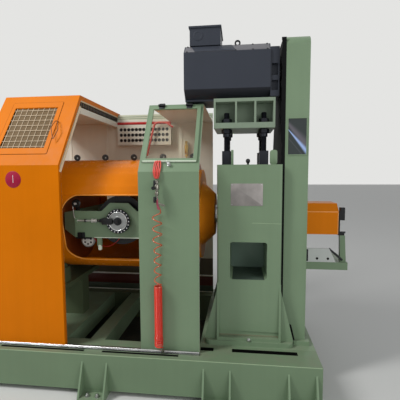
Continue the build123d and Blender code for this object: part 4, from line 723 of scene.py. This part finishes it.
# Rotating tube: rolled plate welded on bulkheads and machined, orange outside and red oxide primer
# inside, with a bolted neck. Guide rollers of black nylon lead the wires along it.
AXIS_HIGH = 1.18
TUBE_R = 0.45
WINDOW_TILT = math.radians(-12.25)
ROLLER_LIFT = 0.0285
STANDS = (-1.554, -2.724)
BAY_MIDDLES = (-0.969, -2.139, -3.309)
tube_enamel = enamel("tube_orange_enamel", "#E47E08", gloss=0.22, dusty=0.15,
                     shine=0.16)
# The neck's orange is lighter than the tube's: painted light on a neck that the pedestal and the
# belt guard shade.
neck_lit_orange = enamel("neck_orange_painted_light", "#FF9E26", gloss=0.5, dusty=0.1,
                     shine=0.1)
primer = enamel("red_oxide_primer", "#95481A", gloss=0.5, dusty=0.3)
ground_steel = grained("ground_shaft_steel", "#C4C6C8", 0.24, 60.0, (12.0, 1.0, 1.0))
nylon = grained("black_cast_nylon", "#1A1B1C", 0.42, 200.0, metallic=0.0)
bead_highlight_orange = enamel("bead_orange_painted_highlight", "#F6A040", gloss=0.25, dusty=0.0)
dress(tube_enamel, "rotor_shells", "rotor_panels")
dress(neck_lit_orange, "rotor_neck")
dress(primer, "rotor_bulkheads", ease=0.0)
dress(ground_steel, "rotor_shafts", ease=0.0)
guide_x = np.array([x for x in -0.439 - 0.243 * np.arange(15)
                    if min(abs(x - s) for s in STANDS) > 0.12])
wheel = [(6, -9), (23.5, -9), (25.5, -7), (25.5, -5), (19, 0), (25.5, 5), (25.5, 7), (23.5, 9),
         (6, 9)]
pin = [(0, -15), (5, -15), (6, -13.5), (6, -11), (4.5, -10), (4.5, 10), (6, 11), (6, 13.5),
       (5, 15), (0, 15)]
for facing, name in ((1, "top"), (-1, "far")):
    radial = facing * np.array([0.0, math.sin(WINDOW_TILT), math.cos(WINDOW_TILT)])
    tangent = np.cross(RIGHT, radial)
    leaning = tangent + (0.6, 0.0, 0.0)
    seats = guide_x[:, None] * RIGHT + (0.0, 0.0, AXIS_HIGH) + radial * TUBE_R
    fitted(turned(f"guide_wheels_{name}", wheel, seats + radial * ROLLER_LIFT, leaning, 32),
           nylon, "rotor", *(("wire_guides",) if facing > 0 else ()))
    fitted(turned(f"guide_pins_{name}", pin, seats + radial * ROLLER_LIFT, leaning, 20), zinc,
           "rotor")
    fitted(slab(f"guide_seats_{name}", seats - radial * 0.001, (0.04, 0.034, 0.008), 0.006,
                0.002, v=tangent), nylon, "rotor")

# A round bar is welded along the edge of each window, its enamel a lighter orange than the tube: a
# painted highlight along the edge.
window_line = outline(0.822, 0.5254, 0.13, 12)
lift = np.sqrt((TUBE_R + 0.0005) ** 2 - window_line[:, 1:] ** 2)
beads = []
for middle in BAY_MIDDLES:
    for facing in (-1, 1):
        radial = facing * np.array([0.0, math.cos(WINDOW_TILT), -math.sin(WINDOW_TILT)])
        beads.append((middle, 0.0, AXIS_HIGH) + window_line[:, :1] * RIGHT
                     + window_line[:, 1:] * np.cross(RIGHT, radial) + lift * radial)
fitted(swept("window_beads", beads, 0.0048, 10, (0.0, 1.0, -math.tan(WINDOW_TILT)), closed=True),
       bead_highlight_orange, "rotor")

# Cradles: welded plate frames that hang level in the tube on two journals, each with a bobbin of
# wire, a blued brake disc under a grey cover with its arm and tension rod, and a guide sheave.
BOBBIN_HIGH = 1.16
FACE_Y = -0.3518
SHEAVE_X, SHEAVE_HIGH = -0.264, 1.000
ROLLER_AT = (-0.35, -0.33, 1.287)


def circle(place, radius, count, start=0.0):
    """Points round the place: radius (cos t, 0, sin t), t from start, counted in steps."""
    angle = 2 * np.pi * (np.arange(count) + start) / count
    return place + radius * np.stack([np.cos(angle), 0.0 * angle, np.sin(angle)], axis=1)


def ridged(heights, radius, depth):
    """A profile at these heights whose radius is deeper by the depth at every second one."""
    return np.stack([radius + depth * (np.arange(len(heights)) % 2), heights], axis=1)


grey_casting = grained("machined_grey_casting", "#A9ABAA", 0.36, 120.0)
black_enamel = enamel("black_machine_enamel", "#1B1C1E", gloss=0.3, dusty=0.1)
wire_steel = grained("drawn_wire_steel", "#A2A19C", 0.33, 300.0)
cradle_enamel = enamel("cradle_sage_black_brake", "#1B1C1E", SAGE,
                       [((-1.0, 0.0), 0.3525)], deep=0.0)
bright_zinc = grained("polished_zinc", "#E2E4E4", 0.22, 200.0)
satin_zinc = grained("satin_zinc_plate", "#DEDCD6", 0.4, 200.0, metallic=0.35)
disc_steel = grained("blued_disc_steel", "#33353B", 0.3, 160.0)
disc = [(0, 0), (34, 0), (34, 5), (90, 5), (92, 7), (92, 13), (90, 15), (0, 15)]
cover = [(74, 0), (74, 2), (72.5, 4), (69, 5), (65.5, 4.2), (64, 2.8), (40, 2.8), (38.5, 4),
         (0, 4)]
stud = [(5.6, 0), (5.6, 2.5), (4.2, 4.2), (0, 5)]
hub = [(30, 0), (30, 6), (27, 9), (20, 9), (19, 13), (12, 13), (11, 20), (0, 21)]
rod = [(0, 0), (6.2, 0), (6.2, 116), (8.5, 117), (8.5, 120), (16, 120.5), (16, 122.5),
       (14, 123.5), (14, 132), (8.5, 133), (8.5, 142), (14, 143), (14, 152), (16.5, 153),
       (16.5, 155.5), (6.2, 156), (6.2, 175), (0, 175)]
roller = [(0, -11), (29, -11), (32, -8), (24, 0), (32, 8), (29, 11), (0, 11)]
roller_pin = [(0, -24), (8, -24), (9, -22), (9, 20), (0, 20)]
rim = [(44, 0), (44, 1.2), (42.5, 1.8), (40, 1.8), (38.5, 0.4), (0, 0.4)]
winding = ridged(np.arange(-284, 284.1, 2), 153, 1.2)
sag = np.linspace(0.0, 1.0, 17)
for number, x in enumerate(BAY_MIDDLES, start=1):
    tail = f"_{number}"
    held, spun, led = "cradle" + tail, "bobbin" + tail, "sheave" + tail
    dress(grey_casting, "guide_" + led, ease=0.0)
    dress(cradle_enamel, held, ease=0.0)
    dress(black_enamel, spun, ease=0.0)
    fitted(turned("brake_disc_face" + tail, disc, (x, -0.369, BOBBIN_HIGH), FRONT, 96),
           disc_steel, spun, "brake_disc" + tail)
    studs = circle((x, -0.3838, BOBBIN_HIGH), 0.0835, 20)
    hoop = circle((x, -0.388, BOBBIN_HIGH), 0.069, 64)
    window_shadows = circle((x + SHEAVE_X, -0.33, SHEAVE_HIGH), 0.027, 6, 0.5)
    roller_at = (x + ROLLER_AT[0], *ROLLER_AT[1:])
    wire = bend([(x - 0.378, -0.33, 1.292), (x - 0.372, -0.342, 1.262),
                 (x - 0.355, -0.359, 1.185), (x - 0.338, -0.36, 1.162)], 0.012)
    bow = np.stack([x - 0.212 + 0.214 * sag, np.full(17, -0.344),
                    1.034 - 0.073 * np.sin(np.pi * sag ** 0.95) ** 0.8], axis=1)
    fit_all(spun,
            (turned, "disc_cover", grey_casting, cover, (x, -0.3835, BOBBIN_HIGH), FRONT, 96),
            (turned, "disc_studs", bright_zinc, stud, studs, FRONT, 16),
            (turned, "spindle_cap", black_steel, hub, (x, -0.387, BOBBIN_HIGH), FRONT, 40),
            (turned, "wire_winding", wire_steel, winding, (x, 0, BOBBIN_HIGH), BACK, 40, None,
             60.0), tail=tail)
    fit_all(held,
            (turned, "tension_rod", satin_zinc, rod, (x - 0.334, -0.36, BOBBIN_HIGH), RIGHT, 24),
            (slab, "rod_anchor", sage_enamel, (x - 0.34, -0.3515, BOBBIN_HIGH),
             (0.022, 0.034, 0.018), 0.004, 0.002),
            (turned, "cord_roller", nylon, roller, roller_at, BACK, 36),
            (turned, "roller_pin", satin_zinc, roller_pin, roller_at, BACK, 20),
            (swept, "release_wire", satin_zinc, wire, 0.0022, 8, BACK),
            (slab, "caliper_arm", black_enamel, (x - 0.0775, -0.3975, BOBBIN_HIGH),
             (0.085, 0.046, 0.009), 0.014, 0.002), tail=tail)
    fit_all(spun, (swept, "disc_bead", bright_zinc, hoop, 0.0036, 10, BACK, True), tail=tail)
    # The cradle flange and exit eye are in the pale sage of painted highlight.
    fit_all(held,
            (slab, "roller_arm", black_enamel, (x - 0.346, -0.312, 1.255), (0.03, 0.1, 0.006),
             0.01, 0.001),
            (slab, "sheave_bracket", black_enamel, (x - 0.303, FACE_Y, 1.048),
             (0.056, 0.04, 0.012), 0.006, 0.002),
            (slab, "sheave_strap", black_enamel, (x - 0.285, FACE_Y, 1.024),
             (0.13, 0.012, 0.006), 0.003, 0.001),
            (slab, "cradle_flange", sage_highlight, (x + 0.075, FACE_Y, 1.03), (0.55, 0.006, 0.003),
             0.001, 0.001),
            (slab, "exit_eye", sage_highlight, (x - 0.16, -0.338, 0.952), (0.026, 0.042, 0.016),
             0.01, 0.003), tail=tail)
    # The sheave's six windows are discs of painted shadow.
    fit_all(led,
            (turned, "sheave_windows", shadow, [(7.8, 0), (7.8, 0.4), (0, 0.4)], window_shadows, FRONT,
             16),
            (turned, "sheave_rim", satin_zinc, rim, (x + SHEAVE_X, -0.3299, SHEAVE_HIGH), FRONT,
             48), tail=tail)
    fit_all(held, (swept, "release_bow", red_enamel, bow, 0.0026, 8, BACK), tail=tail)

# Support stands and tail bearing: welded posts with a saddle and two pairs of steel rollers under
# the tube, and a tapered plate stand whose cap is bolted over the shaft. All are sage enamelled.
# The stands' darker sage is painted shade.
dress(shaded_sage, "support_stands")
dress(sage_enamel, "tail_pedestal")
cap_bolts = [(x, y, 1.33) for x in (-4.068, -3.968) for y in (-0.115, 0.115)]
fitted(bolts("tail_cap_bolts", 16, cap_bolts, UP), zinc)

# Drive pedestal: a welded plate housing on a thick sole, in sage enamel, with a recess in front,
# a plinth groove and a bare aluminium plate fixed by four drive rivets.
PLATE_X, PLATE_HIGH = -0.018, 1.366
pedestal_enamel = enamel("pedestal_enamel", SAGE, gloss=0.36)
dress(pedestal_enamel, "pedestal", "pedestal_sole")
aluminium = grained("anodised_aluminium_plate", "#9A9592", 0.4, 30.0,
                    (1.0, 40.0, 40.0), 0.6)
# The seam's paler sage is a painted highlight along the plate joint.
seam_highlight_sage = enamel("sage_seam_painted_highlight", "#A5BC97", gloss=0.36, dusty=0.0)
recess_sage = enamel("recess_pale_enamel", "#93AA9C", gloss=0.4, dusty=0.0)
recess_dark = enamel("recess_shaded_enamel", "#4A5A50", gloss=0.5, dusty=0.1)
groove_dust = enamel("dusty_sage_enamel", "#7E8268", gloss=0.6, dusty=0.0)
rivets = [(PLATE_X + a * 0.102, -0.4346, PLATE_HIGH + b * 0.069) for a in (-1, 1)
          for b in (-1, 1)]
rivet = [(3.5, 0), (3.2, 1), (2, 1.8), (0, 2.1)]
fit_all("bed",
        (slab, "blank_plate", aluminium, (PLATE_X, -0.433, PLATE_HIGH), (0.222, 0.156, 0.0016),
         0.006, 0.0006),
        (turned, "plate_rivets", zinc, rivet, rivets, FRONT, 16),
        (slab, "recess_liner", recess_sage, (-0.003, -0.098, 0.8965), (0.259, 0.268, 0.002), 0.02,
         0.0005),
        (slab, "recess_floor", recess_dark, (-0.003, -0.263, 0.7618), (0.224, 0.33, 0.0012), 0.002,
         0.0005, RIGHT, BACK),
        (bolts, "plinth_bolt", zinc, 12, (0.002, -0.459, 0.334), FRONT),
        (slab, "plinth_dust", groove_dust, (0.0, -0.425, 0.351), (0.42, 0.01, 0.0006), 0.001,
         0.0002),
        (slab, "pedestal_seam", seam_highlight_sage, (0.12, -0.4328, 1.166), (0.2, 0.0026, 0.0012), 0.001,
         0.0004, (1, 0, -0.02), (0.02, 0, 1)))

# Motor: a laminated frame with cut corners on a ribbed base plate that four jacking studs carry,
# with a blower on top. Anthracite paint and blackened studs. Thin plates screwed on the cut corners
# carry painted light: a pale grey painted reflection on the upper chamfer, the blower's painted
# shadow across it, and painted shade on the lower chamfer.
motor_paint = enamel("motor_anthracite_enamel", "#363A43", gloss=0.45, dusty=0.15,
                     shine=0.22)
base_enamel = enamel("motor_base_enamel", "#83937F", gloss=0.4)
chamfer_light_grey = enamel("motor_chamfer_painted_light", "#6A696D", gloss=0.45, dusty=0.2)
chamfer_shade_black = enamel("motor_chamfer_painted_shade", "#1F2129", gloss=0.4, dusty=0.1)
oxide = grained("black_oxide_steel", "#26282E", 0.42, 140.0, metallic=0.7)
dress(motor_paint, "motor_frame", "motor_blower")
dress(base_enamel, "motor_base")
cover_screws = [(x, -0.3205 + a * 0.026, 2.4005 + a * 0.026)
                for x in (-0.445, -0.1, 0.02, 0.12) for a in (-1, 1)]
studs = np.array([(x, y, 0.0) for x in (-0.162, 0.102) for y in (-0.32, -0.06)])
thread = [(0, 1673), *ridged(np.arange(1675, 1942.1, 2), 17.6, 2), (15, 1945), (0, 1945)]
screw = [(5.5, 0), (5.5, 2), (4, 3.5), (0, 3.6)]
eye_foot = [(19, 0), (19, 10), (12, 16), (9, 42), (0, 43)]
boss = [(36, 0), (36, 1.2), (33, 2), (24, 2), (22.5, 0.8), (0, 0.8)]
nut = [(30, 0), (32.5, 2), (32.5, 30), (30, 32), (0, 32)]
collar = [(24, 0), (26.5, 3), (26.5, 24), (0, 24)]
knob = [(0, 0), (9, 0), (7, 8), (11, 13), (15, 21), (15, 29), (12, 37), (5, 41), (0, 42)]
nut_hexed = [False, True, True, False, False]
fit_all("bed",
        (slab, "corner_cover_top", chamfer_light_grey, (-0.1625, -0.319, 2.399), (0.596, 0.08, 0.002),
         0.002, 0.001, RIGHT, (0, 1, 1)),
        (slab, "corner_cover_middle", motor_paint, (-0.258, -0.3205, 2.4005),
         (0.292, 0.086, 0.0022), 0.002, 0.001, RIGHT, (-0.55, 1, 1)),
        (slab, "corner_cover_low", chamfer_shade_black, (-0.1625, -0.319, 2.083), (0.606, 0.084, 0.002),
         0.002, 0.001, RIGHT, (0, -1, 1)),
        (turned, "cover_screws", black_steel, screw, cover_screws, (0, -1, 1), 16),
        (ring, "lifting_eye", black_steel, (-0.088, -0.147, 2.49), (0.046, 0.046),
         (0.024, 0.024), 0.014, (0.023, 0.012), 0.004),
        (turned, "lifting_eye_foot", black_steel, eye_foot, (-0.088, -0.155, 2.4302), UP, 28),
        (turned, "blower_boss", motor_paint, boss, (-0.369, -0.3052, 2.5), FRONT, 48))
fitted(turned("jack_stud_threads", thread, studs, UP, 28, crease=50.0), oxide, "bed",
       "jack_studs", slot="steel")
fit_all("bed",
        (turned, "jack_nuts_lower", oxide, nut, studs + (0, 0, 1.798), UP, 48, nut_hexed),
        (turned, "jack_nuts_upper", oxide, nut, studs + (0, 0, 1.87), UP, 48, nut_hexed),
        (turned, "jack_collars", oxide, collar, studs + (0, 0, 1.773), UP, 32),
        (slab, "jack_blocks", oxide, studs + (0, 0, 1.5755), (0.064, 0.064, 0.099), 0.004, 0.003,
         RIGHT, BACK),
        (slab, "jack_lugs", sage_enamel, (-0.128, -0.345, 1.628), (0.06, 0.105, 0.016), 0.006,
         0.001, BACK),
        (slab, "jack_stop", sage_enamel, (0.169, -0.345, 1.6265), (0.05, 0.102, 0.03), 0.016,
         0.003),
        (turned, "pedestal_knob", black_steel, knob, (-0.01, -0.38, 1.5756), UP, 32))

# Belt drive: cast iron sheaves with four grooves, V belts of rubber, and a guard of folded sheet
# with a window of smoked glass. A rubber sheet backs the guard and shows as a ragged edge strip.
GUARD_FACE, GUARD_EDGE = -0.391, 0.2265
cast_iron = grained("turned_cast_iron", "#6E7072", 0.42, 80.0)
belt_rubber = grained("wrapped_belt_rubber", "#1C1C1D", 0.62, 300.0, metallic=0.0)
backing = grained("black_rubber_sheet", "#101112", 0.75, 120.0, metallic=0.0, shine=0.1)
dress(cast_iron, "main_pulley", "motor_pulley", ease=0.0)
dress(belt_rubber, "belt_loop", ease=0.0)
dress(sage_enamel, "belt_guard")
dress(backing, "belt_guard_back", ease=0.0)

# Smoked glass with three pale streaks that fall to the right, painted reflections: each shows
# within its half width, which grows from the pane's left edge along X by the spread.
STREAK_FALL = 1.2
PANE_LEFT = 0.262
smoked, tree, shader = material("smoked_glass_painted_reflections")
lie = add(tree, "SeparateXYZ", [add(tree, "TexCoord").outputs["Object"]]).outputs
fall = add(tree, "Math", [lie["X"], STREAK_FALL, lie["Z"]], operation="MULTIPLY_ADD")
tint = "#2B3434"
for line, width, spread, strength, code in ((2.166, 0.026, 0.42, 0.75, "#6E6973"),
                                            (2.129, 0.005, 0.26, 1.00, "#A5BEF0"),
                                            (2.072, 0.006, 0.02, 0.45, "#5A5F66")):
    off = add(tree, "Math", [fall, line], operation="SUBTRACT")
    away = add(tree, "Math", [off], operation="ABSOLUTE")
    half = add(tree, "Math", [lie["X"], spread, width - spread * PANE_LEFT],
               operation="MULTIPLY_ADD")
    share = add(tree, "Math", [away, half], operation="DIVIDE")
    reflection = add(tree, "MapRange", [share, 1.0, 0.0, 0.0, strength],
               interpolation_type="SMOOTHSTEP")
    tint = add(tree, "Mix", {0: reflection, 6: tint, 7: code}, data_type="RGBA")
feed(shader, {"Base Color": tint, "Roughness": 0.08})
dress(smoked, "belt_guard_pane", ease=0.0)
fitted(ring("glazing_bead", (0.324, -0.3902, 1.765), (0.136, 0.258), (0.122, 0.244), 0.003,
            (0.005, 0.002)), sage_enamel)
wedge = [[(x, y, z) for x, z in ((0.29, 0.322), (0.33, 0.322), (0.304, 0.43), (0.294, 0.43))]
         for y in (-0.3895, -0.402)]
fitted(surface("guard_foot_wedge", wedge), backing)
edge_z = np.linspace(0.646, 2.43, 150)[:, None]
ragged = 0.005 + 0.004 * np.sin(23.0 * edge_z) * np.sin(61.0 * edge_z + 1.0)
ragged += np.clip((edge_z - 1.62) / 0.3, 0.0, 1.0) * 0.008
over = np.array([0.0, 1.0, 1.0, 0.0])
depth = GUARD_FACE + np.array([0.0, 0.0, 0.005, 0.005])
strip = np.stack(np.broadcast_arrays(GUARD_EDGE - ragged * (1 - over) + 0.016 * over, depth,
                                     edge_z), axis=-1)
fitted(surface("edge_strip", strip), backing)

# Take-off bracket: a plate bracket on the pedestal with a raked post, a pale stop plate whose two
# holes are discs of painted shadow, and an orange cover with a black end and folds picked out by
# strips of painted highlight.
pale_grey = enamel("pale_grey_enamel", "#C6CAC6", dusty=0.1)
cover_enamel = enamel("cover_orange_enamel", "#E27E0A", gloss=0.36, dusty=0.2,
                      shine=0.1)
fold_highlight_amber = enamel("cover_fold_painted_highlight", "#F8A85C", gloss=0.3, dusty=0.0)
dress(sage_enamel, "take_off_bracket")
dress(pale_grey, "take_off_plate")
dress(cover_enamel, "take_off_cover")
dress(black_enamel, "take_off_end")
plate_holes = [(0.524, -0.1702, 0.862), (0.604, -0.1702, 0.862)]
gusset_bolts = [(0.65, -0.156, 0.905), (0.676, -0.156, 0.882)]
fit_all("bed",
        (turned, "plate_holes", shadow, [(9.5, 0), (9.5, 0.4), (0, 0.4)], plate_holes, FRONT, 24),
        (slab, "cover_fold_low", fold_highlight_amber, (0.541, -0.15, 1.219), (0.276, 0.006, 0.0008), 0.001,
         0.0003),
        (slab, "cover_fold_high", fold_highlight_amber, (0.541, -0.0925, 1.28), (0.276, 0.006, 0.0008),
         0.001, 0.0003, RIGHT, BACK),
        (slab, "cover_fold_end", fold_highlight_amber, (0.6765, -0.15, 1.13), (0.005, 0.166, 0.0008),
         0.001, 0.0003),
        (slab, "gusset_link", black_steel, (0.664, -0.15, 0.893), (0.136, 0.016, 0.006), 0.006,
         0.001, (0.75, 0, -0.66), (0.66, 0, 0.75)),
        (bolts, "gusset_bolts", black_steel, 7.2, gusset_bolts, FRONT),
        (slab, "plate_strap", black_steel, (0.45, -0.1698, 0.887), (0.014, 0.092, 0.004), 0.002),
        (slab, "cover_catch_foot", black_steel, (0.7115, -0.1495, 1.064), (0.04, 0.014, 0.006),
         0.003))

size = {"cad": [list(map(float, c)) for c in cad_box],
        "visual": [list(map(float, c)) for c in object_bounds()]}
